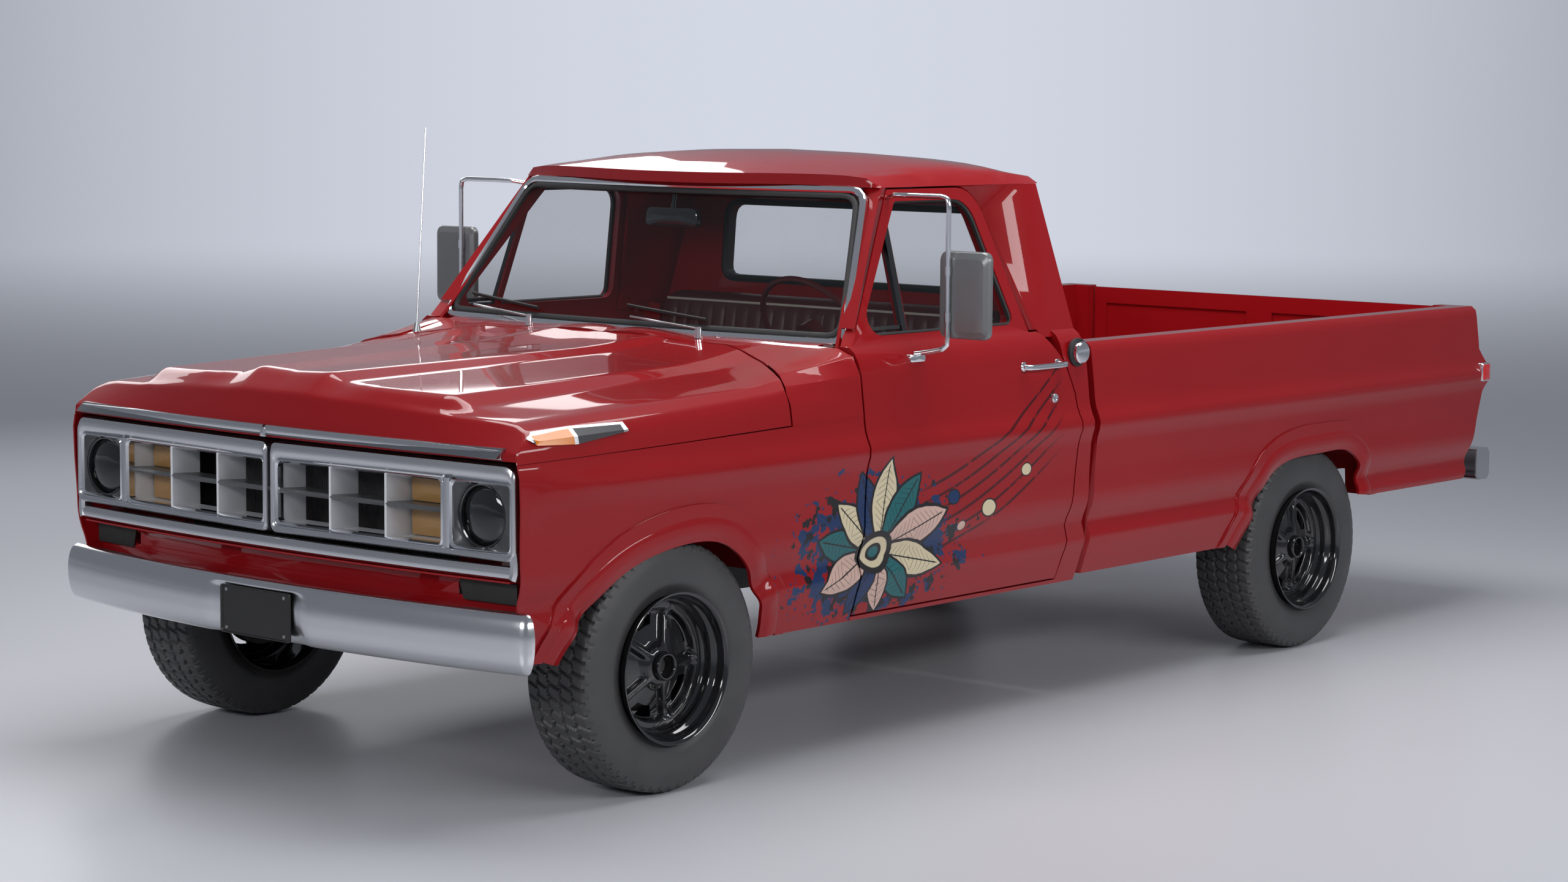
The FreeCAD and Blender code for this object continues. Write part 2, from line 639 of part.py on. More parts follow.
apron_y = 600.0                 # inner wall of the front wheel housing
apron_top_z = 930.0
apron_foot_z = 620.0            # above the steered tyre's inner corner
apron_front_x = axle_front_x + 470.0
apron_rear_x = axle_front_x - 560.0
shut_z = 1012.0                 # joint between hood side and fender
shut_drop = 27.0                # how much lower it lies at the nose
nose_cut = [(axle_front_x + 800, 300), (axle_front_x + 552, 300), (axle_front_x + 564.5, 436),
            (axle_front_x + 590, 700), (axle_front_x + 600, 1000), (axle_front_x + 600, 1300),
            (axle_front_x + 800, 1300)]


def shut_line(x):
    """Height of the joint between hood and fender."""
    share = min(1.0, max(0.0, (x - hood_side_rear_x) / (axle_front_x + 594.0 - hood_side_rear_x)))
    return shut_z - shut_drop * share


def lipped_opening(wall, proud_wall, points, axle_x):
    """A wall with a wheel opening cut through it and a raised lip around the opening."""
    lip = proud_wall.common(arch_cut(points, axle_x, 800.0, 1100.0, arch_bead))
    return wall.fuse(lip).cut(arch_cut(points, axle_x, 700.0, 1200.0))


def fender():
    """Front fender with its wheel opening, rear shoulder and wheel housing."""
    rear_x = door_front_x + panel_gap
    tip_x = axle_front_x + 640.0
    wall = side_wall(hood_side_rear_x, tip_x, 0.0, skin).fuse(side_wall(rear_x, hood_side_rear_x, 0.0, skin))
    proud = side_wall(axle_front_x - 520.0, axle_front_x + 540.0, bead_height, skin + bead_height)
    wall = lipped_opening(wall, proud, front_arch, axle_front_x)
    over = [(rear_x - 20, shut_z - shut_gap), (hood_side_rear_x, shut_z - shut_gap),
            (tip_x, shut_line(tip_x) - shut_gap), (tip_x, 1400), (rear_x - 20, 1400)]
    under = [(rear_x - 20, 300), (rear_x - 20, rocker_height), (axle_front_x + 420, rocker_height),
             (axle_front_x + 470, 430), (tip_x, 436), (tip_x, 300)]
    for outline in (over, under, nose_cut):
        wall = wall.cut(plate_xz(outline, 700, 1200))
    shoulder = upper_shell([rear_x, hood_side_rear_x + 60.0], skin)
    keep = box(rear_x - 10, hood_side_rear_x, cowl_edge_y, 1100, 900, 1300)
    shoulder = shoulder.common(keep).cut(plate_xy(hood_plan(-shut_gap, tip_x), 900.0, 1300.0))
    joint = side_wall(rear_x, hood_side_rear_x - shut_gap, 0.0, skin)
    joint = joint.common(box(rear_x, hood_side_rear_x, 900, 1100, 990, 1030))
    sheet_t = 4.0
    inner = box(apron_rear_x, apron_front_x, apron_y - sheet_t, apron_y, apron_foot_z, apron_top_z)
    shelf = box(apron_rear_x, apron_front_x, apron_y - sheet_t, 975, apron_top_z, apron_top_z + sheet_t)
    ends = []
    for x, foot_z in ((apron_rear_x, 560.0), (apron_front_x - sheet_t, 600.0)):
        plate = side_wall(x, x + sheet_t, -1.0, skin, apron_y - sheet_t)
        ends.append(plate.common(box(x - 1, x + sheet_t + 1, 0, 1100, foot_z, apron_top_z + sheet_t)))
    return one(wall.fuse([shoulder, joint, inner, shelf] + ends))


cowl_edge_y = 800.0
fender_left = fender()
export("fender_left", fender_left)
export("fender_right", mirrored(fender_left))

# Doors: a closed lower shell with the window frame above it

door_inner_y = 872.0
lean = 0.329                    # how far the upper body leans in for each mm of height
pillar_depth = 46.0
glass_thickness = 5.0
door_top_z = 1676.0
roof_seam_z = 1682.0
door_low = [
    (door_front_x, 411), (axle_front_x - 1852, 411), (axle_front_x - 1862, 520), (axle_front_x - 1882, 740),
    (axle_front_x - 1897, 900), (axle_front_x - 1888, 1010), (axle_front_x - 1848, 1110),
    (axle_front_x - 1800, 1170), (axle_front_x - 1762, sill_height), (door_front_x, sill_height),
]
door_frame = rounded_outline([
    (axle_front_x - 832, sill_height - 8, 0), (axle_front_x - 1722, sill_height - 8, 0),
    (axle_front_x - 1612, door_top_z, 110), (axle_front_x - 1178, door_top_z, 12),
])
window_outline = rounded_outline([
    (axle_front_x - 884, 1243, 50), (axle_front_x - 1661, 1243, 30), (axle_front_x - 1570, 1640, 85),
    (axle_front_x - 1202, 1640, 16),
])
vent_bar = [(axle_front_x - 1124, 1217), (axle_front_x - 1100, 1217), (axle_front_x - 1134, 1640),
            (axle_front_x - 1158, 1640)]


def lean_y(z):
    """The outer face of the window frames at height z."""
    return 918.0 + profile_scale - lean * (z - sill_height)


def leaning_plate(outline, inset, depth):
    """A plate parallel to the leaning side of the cab, inset mm behind its face."""
    face = Part.Face(polygon_wire([(x, lean_y(z) - inset, z) for x, z in outline]))
    return face.extrude(V(0, -depth, 0))


def grown(outline, distance):
    """The outline moved outwards in its own plane, as a list of points."""
    face = Part.Face(polygon_wire([(x, 0, z) for x, z in outline]))
    wire = face.OuterWire.makeOffset2D(distance, 2, False, False)
    return [(v.X, v.Z) for v in wire.OrderedVertexes]


def door():
    """A door with its box-shaped lower part, window frame and vent bar."""
    low = side_wall(axle_front_x - 1910.0, door_front_x, 0.0, skin, door_inner_y)
    low = low.common(plate_xz(door_low, 800, 1100))
    frame_part = leaning_plate(door_frame, 0.0, pillar_depth)
    frame_part = frame_part.cut(leaning_plate(window_outline, -1.0, pillar_depth + 2.0))
    bar = leaning_plate(vent_bar, 8.0, 26.0).common(leaning_plate(door_frame, 0.0, pillar_depth))
    return one(low.fuse([frame_part, bar]))


def door_glass():
    """The door's two panes, 0.3 mm clear of frame and vent bar."""
    pane = leaning_plate(grown(window_outline, -0.3), 20.0, glass_thickness)
    return pane.cut(leaning_plate(grown(vent_bar, 0.3), 8.0, 26.0))


mirror_bar_radius = 8.0
mirror_x = axle_front_x - 1116.0
mirror_y = 1060.0


def door_hardware():
    """Tubular mirror bracket, mirror head, door handle and lock."""
    top_z, foot_z = 1664.0, 1204.0
    bracket = rod([(mirror_x - 60, lean_y(1652) + 0.3, 1652), (mirror_x - 20, lean_y(1652) + 60, top_z),
                   (mirror_x, mirror_y, top_z), (mirror_x, mirror_y, foot_z),
                   (mirror_x + 20, 950.0, foot_z - 20)], mirror_bar_radius, 24.0)
    foot = box(mirror_x - 10, mirror_x + 60, 945, 975, 1164, 1182)
    head_outline = rounded_outline([(1013, 1235, 26), (1203, 1235, 26), (1203, 1500, 26), (1013, 1500, 26)])
    head = plate_yz(head_outline, mirror_x - 36.0, mirror_x - mirror_bar_radius + 1.0)
    handle_x = axle_front_x - 1720.0
    grip = box(handle_x - 108, handle_x + 108, 990, 1006, 1104, 1122)
    posts = [box(x - 10, x + 10, 966, 991, 1105, 1121) for x in (handle_x - 88, handle_x + 92)]
    lock = Part.makeCylinder(15.0, 12.0, V(axle_front_x - 1770.0, 984.0, 1006.0), V(0, 1, 0))
    return bracket, foot, head, grip, posts, lock


door_left = door()
glass_left = door_glass()
export("door_left", door_left)
export("door_right", mirrored(door_left))
export("door_left_glass", glass_left)
export("door_right_glass", mirrored(glass_left))

hardware_left = door_hardware()
mirror_set = hardware_left[0].fuse([hardware_left[1], hardware_left[2]])
handle_set = hardware_left[3].fuse(hardware_left[4])
hardware = Part.makeCompound([mirror_set, handle_set, hardware_left[5]]).cut(door_left)
export("door_left_hardware", hardware)
export("door_right_hardware", mirrored(hardware))

# Cab

cab_inner_y = 800.0
cab_wall = 30.0
floor_z = 596.0
floor_sheet = 12.0
firewall_x = axle_front_x - 730.0
opening_flange = 24.0           # how far the door frame of the body reaches behind the door
header_thickness = 34.0
glass_foot_sag = 54.0
glass_top_z = 1670.0
glass_top_x = axle_front_x - 1044.0


def cab_side():
    """Door opening of the cab: hinge pillar, sill, rear quarter and the upper pillars in one ring."""
    low = side_wall(cab_rear_x, axle_front_x - 1840.0, 0.0, skin, cab_inner_y)
    sill = side_wall(cab_rear_x, door_front_x + 2.0, 0.0, skin, cab_inner_y)
    sill = sill.common(box(cab_rear_x, door_front_x + 2.0, cab_inner_y, 960.0, rocker_height, 520.0))
    post = box(door_front_x - 40.0, door_front_x + 60.0, cab_inner_y, 905.0, rocker_height, 1130.0)
    low = low.common(box(cab_rear_x, axle_front_x, 700.0, 1100.0, rocker_height, 1300.0))
    outline = [(cab_rear_x, sill_height - 20), (cab_rear_x + 12, roof_seam_z - seat_gap), (axle_front_x - 1150, roof_seam_z - seat_gap),
               (door_front_x + 2, sill_height - 20)]
    upper = leaning_plate(outline, 0.0, 64.0)
    ring = low.fuse([sill, post, upper])
    outer_cut = plate_xz(grown(door_low, panel_gap - 2.0), door_inner_y - 6.0, 1100.0)
    inner_cut = plate_xz(grown(door_low, -opening_flange), 700.0, door_inner_y)
    frame_outer = leaning_plate(grown(door_frame, panel_gap - 2.0), -5.0, pillar_depth + 11.0)
    frame_inner = leaning_plate(grown(door_frame, -opening_flange), -5.0, 90.0)
    bridge = box(axle_front_x - 1690, axle_front_x - 880, 700, 1000, sill_height - 60, sill_height + 60)
    ring = ring.cut(outer_cut).cut(inner_cut).cut(frame_outer).cut(frame_inner).cut(bridge)
    pads = [box(door_front_x + seat_gap, door_front_x + 20, door_inner_y + 6, 904, z - 24, z + 24)
            for z in (540.0, 980.0)]
    return one(ring.fuse(pads))


side_left = cab_side()


def cab_roof():
    """Crowned roof shell, its front edge bowed above the windshield."""
    stations = [(-1000.0, 70.0), (-1170.0, 36.0), (-1400.0, 6.0), (-1600.0, 0.0), (-1800.0, 14.0), (-1965.0, 60.0)]
    half = sampled([(764.0, 1682.0), (766.0, 1694.0), (748.0, 1714.0), (690.0, 1738.0), (560.0, 1759.0),
                    (300.0, 1776.0), (0.0, roof_height)], 13)
    wires = []
    for station, drop in stations:
        share = (roof_height - 1694.0 - drop) / (roof_height - 1694.0)
        points = []
        for y, z in half:
            height = z if z <= 1694.0 else 1694.0 + (z - 1694.0) * share
            points.append((y, height))
        wires.append(section_wire(points, axle_front_x + station, header_thickness))
    shell = Part.makeLoft(wires, True, True)
    brow = bowed_bar(glass_top_x + 20.0 + 300.0, 300.0, -1000.0, 1000.0, 1500.0, 1900.0, 190.0)
    below = box(cab_rear_x - 50, axle_front_x, -900, 900, 1500, roof_seam_z)
    return one(shell.cut(brow).cut(below))


export("cab_roof", cab_roof())


def cab_back():
    """Rear wall of the cab with its window opening."""
    top_y = lean_y(roof_seam_z) - 64.5
    foot_y = lean_y(sill_height) - 64.5
    side = cab_inner_y - 0.5
    seam = sill_height + 0.5
    half = [(side, floor_z - floor_sheet), (side, seam), (foot_y, seam), (top_y, roof_seam_z - seat_gap)]
    outline = half + [(-y, z) for y, z in reversed(half)]
    wall = plate_yz(outline, cab_rear_x, cab_rear_x + cab_wall)
    return wall.cut(plate_yz(rear_window, cab_rear_x - 10, cab_rear_x + cab_wall + 10))


rear_window = rounded_outline([(-580, 1317, 45), (580, 1317, 45), (560, 1584, 60), (-560, 1584, 60)])
export("cab_back", cab_back())


def windshield(inset, side_inset, depth):
    """The raked, bowed windshield; its outline shrinks by the inset."""
    wires = []
    for centre_x, sag, half, z in (
            (glass_foot_x + 14.0, glass_foot_sag, 862.0 - side_inset, 1228.0 + inset),
            (glass_top_x, 106.0, 724.0 - side_inset, glass_top_z - inset)):
        def at(y, back):
            return V(centre_x - sag * (y / 862.0) ** 2 - back, y, z)
        front = Part.Arc(at(-half, 0), at(0, 0), at(half, 0)).toShape()
        rear = Part.Arc(at(half, depth), at(0, depth), at(-half, depth)).toShape()
        wires.append(Part.Wire([front, Part.LineSegment(at(half, 0), at(half, depth)).toShape(), rear,
                                Part.LineSegment(at(-half, depth), at(-half, 0)).toShape()]))
    return Part.makeLoft(wires, True, True)


rear_pane = plate_yz([(y * 0.999, 1450 + (z - 1450) * 0.998) for y, z in rear_window],
                     cab_rear_x + 10.0, cab_rear_x + 10.0 + glass_thickness)
screen = windshield(8.0, 16.1, 7.0)
export("cab_glass", Part.makeCompound([screen, rear_pane]))


def cab_floor():
    """Floor pan with its tunnel, toe board and sills' inner flanges."""
    pan = box(cab_rear_x + cab_wall + 0.5, firewall_x - 0.5, -cab_inner_y + 0.5, cab_inner_y - 0.5,
              floor_z - floor_sheet, floor_z)
    tunnel = plate_yz([(-190, floor_z - 6), (-140, floor_z + 90), (140, floor_z + 90), (190, floor_z - 6)],
                      cab_rear_x + 700, firewall_x - 0.5)
    hollow = plate_yz([(-182, floor_z - 20), (-182, floor_z - 6), (-134, floor_z + 82), (134, floor_z + 82),
                       (182, floor_z - 6), (182, floor_z - 20)], cab_rear_x + 690, firewall_x + 10)
    legs = [box(x - 40, x + 40, y - 60, y + 60, frame_top_z + 0.0, floor_z - floor_sheet + 1)
            for x in (axle_front_x - 900, axle_front_x - 1850) for y in (-380, 380)]
    return one(pan.fuse([tunnel] + legs).cut(hollow))


export("cab_floor", cab_floor())


def cowl():
    """Firewall with the cowl top in front of the windshield."""
    side = cab_inner_y - 0.5
    top = [(side, 1186), (600, 1199), (300, 1208), (0, 1214), (-300, 1208), (-600, 1199), (-side, 1186)]
    foot = [(-side, 560), (-190, 560), (-140, 690), (140, 690), (190, 560), (side, 560)]
    wall = plate_yz(foot + top, firewall_x, firewall_x + 8)
    lid = upper_shell([door_front_x - 60.0, door_front_x, hood_side_rear_x], 8.0)
    keep = box(axle_front_x - 900, axle_front_x - 560, -cowl_edge_y + 1, cowl_edge_y - 1, 1000, 1400)
    keep = keep.cut(plate_xy(hood_plan(-shut_gap, axle_front_x + 900.0), 900.0, 1400.0))
    keep = keep.cut(bowed_bar(glass_foot_x + 12.0, 300.0, -1000.0, 1000.0, 900.0, 1400.0, glass_foot_sag))
    lid = lid.common(keep)
    return one(lid.fuse(wall))


cowl_shape = cowl()
export("cowl", cowl_shape)

# Interior

seat_half = 740.0
seat_front_x = axle_front_x - 1330.0
seat_back_x = axle_front_x - 1755.0
wheel_hub = V(axle_front_x - 1300.0, 374.0, 1216.0)
column_tilt = 32.0              # steering column above the horizontal, in degrees
steering_radius = 205.0


def bench_seat():
    """Bench seat: a rounded cushion and a raked back, as one soft solid."""
    cushion = [(seat_front_x, 760), (seat_front_x + 10, 850), (seat_front_x - 10, 905), (seat_front_x - 60, 925),
               (seat_back_x + 20, 895), (seat_back_x - 60, 880), (seat_back_x - 60, 720), (seat_front_x - 40, 720)]
    back = [(seat_back_x + 30, 890), (seat_back_x - 34, 1230), (seat_back_x - 50, 1268), (seat_back_x - 78, 1276),
            (seat_back_x - 104, 1262), (seat_back_x - 112, 1220), (seat_back_x - 60, 720)]
    return one(plate_xz(cushion, -seat_half, seat_half).fuse(plate_xz(back, -seat_half, seat_half)))


export("bench_seat", bench_seat())
seat_frame = box(seat_back_x - 40, seat_front_x - 60, -seat_half + 20, seat_half - 20, floor_z + 0.3, 719.7)
seat_frame = seat_frame.cut(box(seat_back_x - 20, seat_front_x - 80, -seat_half + 40, seat_half - 40, 500, 800))
seat_frame = seat_frame.cut(box(seat_back_x - 60, seat_front_x, -200, 200, 500, 690))
export("seat_frame", one(seat_frame))


filler_x = axle_front_x - 1912.0
filler_z = 1144.0
filler_radius = 20.0
filler_seat_y = 972.0


def fuel_tank():
    """Fuel tank behind the seat, with the filler neck and the cap on the cab's side."""
    x0, x1 = cab_rear_x + cab_wall + 0.3, seat_back_x - 120.0
    tank = plate_xz(rounded_outline([(x0, floor_z + 14, 12), (seat_back_x - 66, floor_z + 14, 12),
                                     (x1, 1180, 12), (x0, 1180, 12)]), -620, 620)
    neck = Part.makeCylinder(filler_radius, 376.0, V(filler_x, 600.0, filler_z), V(0, 1, 0))
    cap = turned([(filler_seat_y + 0.5, 0.01), (994.0, 0.01), (994.0, 30), (990.0, 35), (filler_seat_y + 0.5, 35)],
                 V(filler_x, 0, filler_z))
    feet = [box(x0 + 2, x0 + 60, y - 40, y + 40, floor_z + 0.3, floor_z + 20) for y in (-450, 450)]
    return one(tank.fuse([neck, cap] + feet))


tank = fuel_tank()
filler_bore = turned([(700, 0.01), (1100, 0.01), (1100, 36), (filler_seat_y, 36), (filler_seat_y, filler_radius + 0.6),
                      (700, filler_radius + 0.6)], V(filler_x, 0, filler_z))
side_left_bored = max(side_left.cut(filler_bore).Solids, key=lambda solid: solid.Volume)
export("fuel_tank", tank)
export("cab_sides", Part.makeCompound([side_left_bored, mirrored(side_left)]))


def dashboard():
    """Padded dashboard with the steering column and its bracket."""
    face_x = firewall_x - 330.0
    outline = [(firewall_x - seat_gap, 1120), (face_x + 60, 1150), (face_x + 20, 1165), (face_x, 1140), (face_x + 10, 1080),
               (face_x + 40, 960), (face_x + 80, 960), (face_x + 80, 1090), (firewall_x - seat_gap, 1090)]
    panel = plate_xz(outline, -cab_inner_y + 4, cab_inner_y - 4)
    direction = V(math.cos(math.radians(column_tilt)), 0, -math.sin(math.radians(column_tilt)))
    start = wheel_hub + direction * 40.0
    column = Part.makeCylinder(26.0, 560.0, start, direction)
    bracket = box(face_x + 20, face_x + 80, wheel_hub.y - 50, wheel_hub.y + 50, 940, 1100)
    return one(panel.fuse([column, bracket]))


export("dashboard", dashboard())


def steering_wheel():
    """Two-spoke steering wheel with a deep hub, square to its column."""
    section = [(steering_radius - 10 + 10 * math.cos(a), 0, 10 * math.sin(a))
               for a in (math.radians(30 + 60 * k) for k in range(6))]
    ring = Part.Face(polygon_wire(section)).revolve(V(0, 0, 0), V(0, 0, 1), 360)
    hub = Part.makeCone(42.0, 30.0, 50.0, V(0, 0, -36.0), V(0, 0, 1))
    stub = Part.makeCylinder(14.0, 34.0, V(0, 0, -39.0))
    spokes = [Part.makeCylinder(8.0, steering_radius - 12, V(0, 0, -12.0), V(math.cos(a), math.sin(a), 0.06))
              for a in (math.radians(100), math.radians(260))]
    shape = ring.fuse([hub, stub] + spokes)
    shape.rotate(V(0, 0, 0), V(0, 1, 0), -(90.0 - column_tilt))
    shape.translate(wheel_hub)
    return one(shape)


export("steering_wheel", steering_wheel())

# Load bed

bed_inner_y = 876.0
bed_floor_z = 680.0
bed_sheet = 16.0
bed_foot_z = 410.0
tail_post_y = 812.0
tailgate_gap = 6.0
tailgate_z0 = 646.0
tailgate_top_z = rail_height - 7.0
hinge = V(bed_rear_x - 22.0, 0, 636.0)
bed_curve = sampled([p for p in side_profile if p[0] <= 1110.0] + [
    (1146.0, 967.0), (1164.0, 960.0), (rail_height, 946.0)], 34)
tail_line = [(bed_rear_x, rail_height + 10), (bed_rear_x, 1010), (bed_rear_x - bed_tail_bulge, 958),
             (bed_rear_x - bed_tail_bulge, 890), (bed_rear_x - 12, 850), (axle_rear_x - 1138, 536),
             (axle_rear_x - 1120, 515)]


def bed_side():
    """Double-walled side of the bed with its wheel opening, wheelhouse and tail post."""
    wall = side_wall(axle_rear_x - 1260.0, bed_front_x, 0.0, sheet, bed_inner_y, bed_curve)
    proud = side_wall(axle_rear_x - 520.0, axle_rear_x + 560.0, bead_height, sheet, bed_inner_y + 40.0, bed_curve)
    lip = proud.common(arch_cut(rear_arch, axle_rear_x, 800.0, 1100.0, arch_bead))
    house = arch_cut(rear_arch, axle_rear_x, 640.0, bed_inner_y + 1.0, 22.0)
    house = house.cut(box(axle_rear_x - 700, axle_rear_x + 700, 600, 900, 300, bed_floor_z - bed_sheet - 60))
    post = box(bed_rear_x, bed_rear_x + 60, tail_post_y, bed_inner_y + 1, 620, rail_height)
    ear = box(hinge.x - 12, bed_rear_x + 58, tail_post_y, tail_post_y + 14, hinge.z - 14, hinge.z + 14)
    body = wall.fuse([lip, house, post])
    body = body.cut(arch_cut(rear_arch, axle_rear_x, 660.0, 1200.0))
    behind = [(axle_rear_x - 1400, rail_height + 10)] + tail_line + [(axle_rear_x - 380, 515), (axle_rear_x - 380, 300),
                                                                     (axle_rear_x - 1400, 300)]
    body = body.cut(plate_xz(behind, 780, 1100)).fuse(ear)
    below = box(axle_rear_x - 100, bed_front_x + 10, 780, 1100, 300, bed_foot_z)
    return one(body.cut(below))


bed_side_left = bed_side()
export("bed_side_left", bed_side_left)
export("bed_side_right", mirrored(bed_side_left))


def bed_floor():
    """Ribbed bed floor on its cross sills, cut around the wheelhouses."""
    x0, x1 = hinge.x + 46.0, bed_front_x - 42.0
    side = bed_inner_y - 0.3
    pan = box(x0, x1, -side, side, bed_floor_z - bed_sheet, bed_floor_z - 8)
    rib_width, rib_pitch = 60.0, 118.0
    ribs = [box(x0 + 12, x1 - 12, k * rib_pitch - rib_width / 2, k * rib_pitch + rib_width / 2,
                bed_floor_z - 9, bed_floor_z) for k in range(-5, 6)]
    sills = [box(x - 40, x + 40, -side + 60, side - 60, frame_top_z + 74.3, bed_floor_z - bed_sheet + 1)
             for x in (x0 + 60, axle_rear_x - 560, axle_rear_x + 600, axle_rear_x + 1040, x1 - 60)]
    body = pan.fuse(ribs + sills)
    for side_sign in (1, -1):
        house = arch_cut(rear_arch, axle_rear_x, 639.7, 1000.0, 22.4)
        body = body.cut(house if side_sign > 0 else mirrored(house))
    for side_sign in (1, -1):
        y0, y1 = sorted((side_sign * (tail_post_y - 0.3), side_sign * 900.0))
        body = body.cut(box(x0 - 10, bed_rear_x + 60.3, y0, y1, 600, 700))
    low = [box(axle_rear_x + 1000, axle_rear_x + 1080, s * 400 - 30, s * 400 + 30, frame_top_z - 20 + 0.3, frame_top_z + 75)
           for s in (1, -1)]
    low += [box(x1 - 100, x1 - 20, s * 400 - 30, s * 400 + 30, frame_top_z - 20 + 0.3, frame_top_z + 75) for s in (1, -1)]
    return one(body.fuse(low))


export("bed_floor", bed_floor())


def bed_front():
    """Front wall of the bed with a pressed panel and a flanged top."""
    y = bed_inner_y - 0.3
    x0, x1 = bed_front_x - 40.0, bed_front_x
    panel = box(x0, x1, -y, y, bed_floor_z - 60, rail_height)
    for half in ((-y + 60, -40), (40, y - 60)):
        panel = panel.cut(box(x0 - 5, x0 + 8, half[0], half[1], bed_floor_z + 40, rail_height - 60))
    return panel


export("bed_front", bed_front())


def tailgate():
    """Tailgate whose outer face follows the bulge of the bed's sides."""
    y = tail_post_y - tailgate_gap
    inner_x = hinge.x + 40.0
    outline = [(inner_x, tailgate_z0), (inner_x, tailgate_top_z), (bed_rear_x + 4, tailgate_top_z), (bed_rear_x - 6, 1010),
               (bed_rear_x - 30, 958), (bed_rear_x - 30, 900), (bed_rear_x - 12, 852), (bed_rear_x - 14, 800),
               (bed_rear_x - 24, tailgate_z0)]
    gate = plate_xz(outline, -y, y)
    for half in ((-y + 60, -60), (60, y - 60)):
        gate = gate.cut(box(inner_x - 8, inner_x + 5, half[0], half[1], 720, 1100))
    ears = [box(hinge.x - 11, hinge.x + 11, *sorted((s * (y - 24), s * (y - 2))), hinge.z - 10, tailgate_z0 + 10)
            for s in (1, -1)]
    pins = [Part.makeCylinder(8.0, 24.0 + tailgate_gap - 0.3, V(hinge.x, s * (y - 24), hinge.z), V(0, s, 0))
            for s in (1, -1)]
    return one(gate.fuse(ears + pins))


export("tailgate", tailgate())

# Nose: grille, lamps, valance and bumpers

grille_x = axle_front_x + 650.0
grille_z0, grille_z1 = 716.0, 968.0
grille_half = 944.0
opening_half = 683.0
opening_z0, opening_z1 = 743.0, 926.0
grille_depth = 58.0
grille_foot_z = 664.0
lamp_y, lamp_z, lamp_radius = 814.0, 830.0, 89.0


def grille():
    """Bright surround with two openings of upright fins crossed by one blade."""
    frame_part = bowed_bar(grille_x, 40.0, -grille_half, grille_half, grille_z0, grille_z1)
    for y0, y1 in ((-opening_half, -18.0), (18.0, opening_half), (opening_half + 30, grille_half - 22),
                   (-grille_half + 22, -opening_half - 30)):
        frame_part = frame_part.cut(bowed_bar(grille_x + 60, 200.0, y0, y1, opening_z0, opening_z1))
    fins = []
    pitch = (opening_half - 18.0) / 3
    for side in (1, -1):
        for k in range(1, 3):
            y = side * (18.0 + k * pitch)
            x = nose_x(y, grille_x)
            fins.append(box(x - grille_depth, x - 3, y - 5, y + 5, opening_z0 - 2, opening_z1 + 2))
    blade = bowed_bar(grille_x - 8.0, grille_depth - 12.0, -opening_half - 2, opening_half + 2, 830.0, 838.0)
    lower = bowed_bar(grille_x - 6.0, 26.0, -grille_half, grille_half, grille_foot_z, 700.0)
    ends = [bowed_bar(grille_x - 10.0, 22.0, s0, s1, 690.0, 726.0) for s0, s1 in ((-930.0, -900.0), (900.0, 930.0))]
    return one(frame_part.fuse(fins + [blade, lower] + ends))


export("grille", grille())


def headlamp(side):
    """Dark lamp panel with a round sealed lamp behind the grille's end."""
    y0, y1 = sorted((side * (opening_half + 12), side * (grille_half - 6)))
    panel = bowed_bar(grille_x - 40.0 - seat_gap, 12.0, y0, y1, opening_z0 - 12, opening_z1 + 12)
    x = nose_x(lamp_y, grille_x) - 66.0
    bowl = Part.makeCylinder(lamp_radius + 8, 34.0, V(x - 14, side * lamp_y, lamp_z), V(1, 0, 0))
    face_x = x + 20
    lens = Part.makeSphere(220.0, V(face_x - 206.0, side * lamp_y, lamp_z))
    lens = lens.common(Part.makeCylinder(lamp_radius, 60.0, V(face_x - 6, side * lamp_y, lamp_z), V(1, 0, 0)))
    return one(panel.fuse([bowl, lens]))


lamps = [headlamp(1), headlamp(-1)]
export("headlamps", Part.makeCompound(lamps))


def core_support():
    """Radiator core in its support panel, between the wheel housings."""
    x = apron_front_x - 40.0
    side = apron_y - 4.3
    panel = box(x, x + 6, -side, side, frame_top_z + 0.3, 955)
    panel = panel.cut(box(x - 5, x + 10, -340, 340, 600, 930))
    core = box(x - 30, x + 30, -341, 341, 599, 931)
    tie = box(x - 20, x + 30, -side, side, 955, 975)
    stays = [box(x + 5, nose_x(570, grille_x) - 40 - seat_gap, s * 560 - 8, s * 560 + 8, 931, 960) for s in (1, -1)]
    return one(panel.fuse([core, tie] + stays))


export("radiator", core_support())


def valance():
    """Painted panel below the grille, stepped back between the fenders."""
    x = grille_x - 60.0
    upper = bowed_bar(x, 4.0, -918.0, 918.0, 590.0, 660.0)
    lip = bowed_bar(x + 50.0, 52.0, -918.0, 918.0, 659.0, grille_foot_z - seat_gap)
    for side in (1, -1):
        y0, y1 = sorted((side * 690.0, side * 880.0))
        upper = upper.cut(bowed_bar(x + 60, 160.0, y0, y1, 596.0, 640.0))
    return one(upper.fuse(lip))


export("valance", valance())

bumper_face_x = axle_front_x + front_overhang
bumper_half = 1010.0
bumper_z0, bumper_z1 = 412.0, 585.0
bumper_sag = 104.0              # how far the bumper's ends stand behind its middle
bumper_corner = 36.0            # radius of its ends in plan
bumper_outline = [
    (30, bumper_z1 - 3), (15, bumper_z1), (8, bumper_z1 - 6), (0, bumper_z1 - 56), (0, bumper_z0 + 34),
    (5, bumper_z0 + 10), (14, bumper_z0), (30, bumper_z0), (30, bumper_z0 + 6), (17, bumper_z0 + 6),
    (11, bumper_z0 + 13), (6, bumper_z0 + 35), (6, bumper_z1 - 56), (14, bumper_z1 - 9), (18, bumper_z1 - 6),
    (30, bumper_z1 - 9),
]
plate_half, plate_z0, plate_z1 = 165.0, 416.0, 566.0


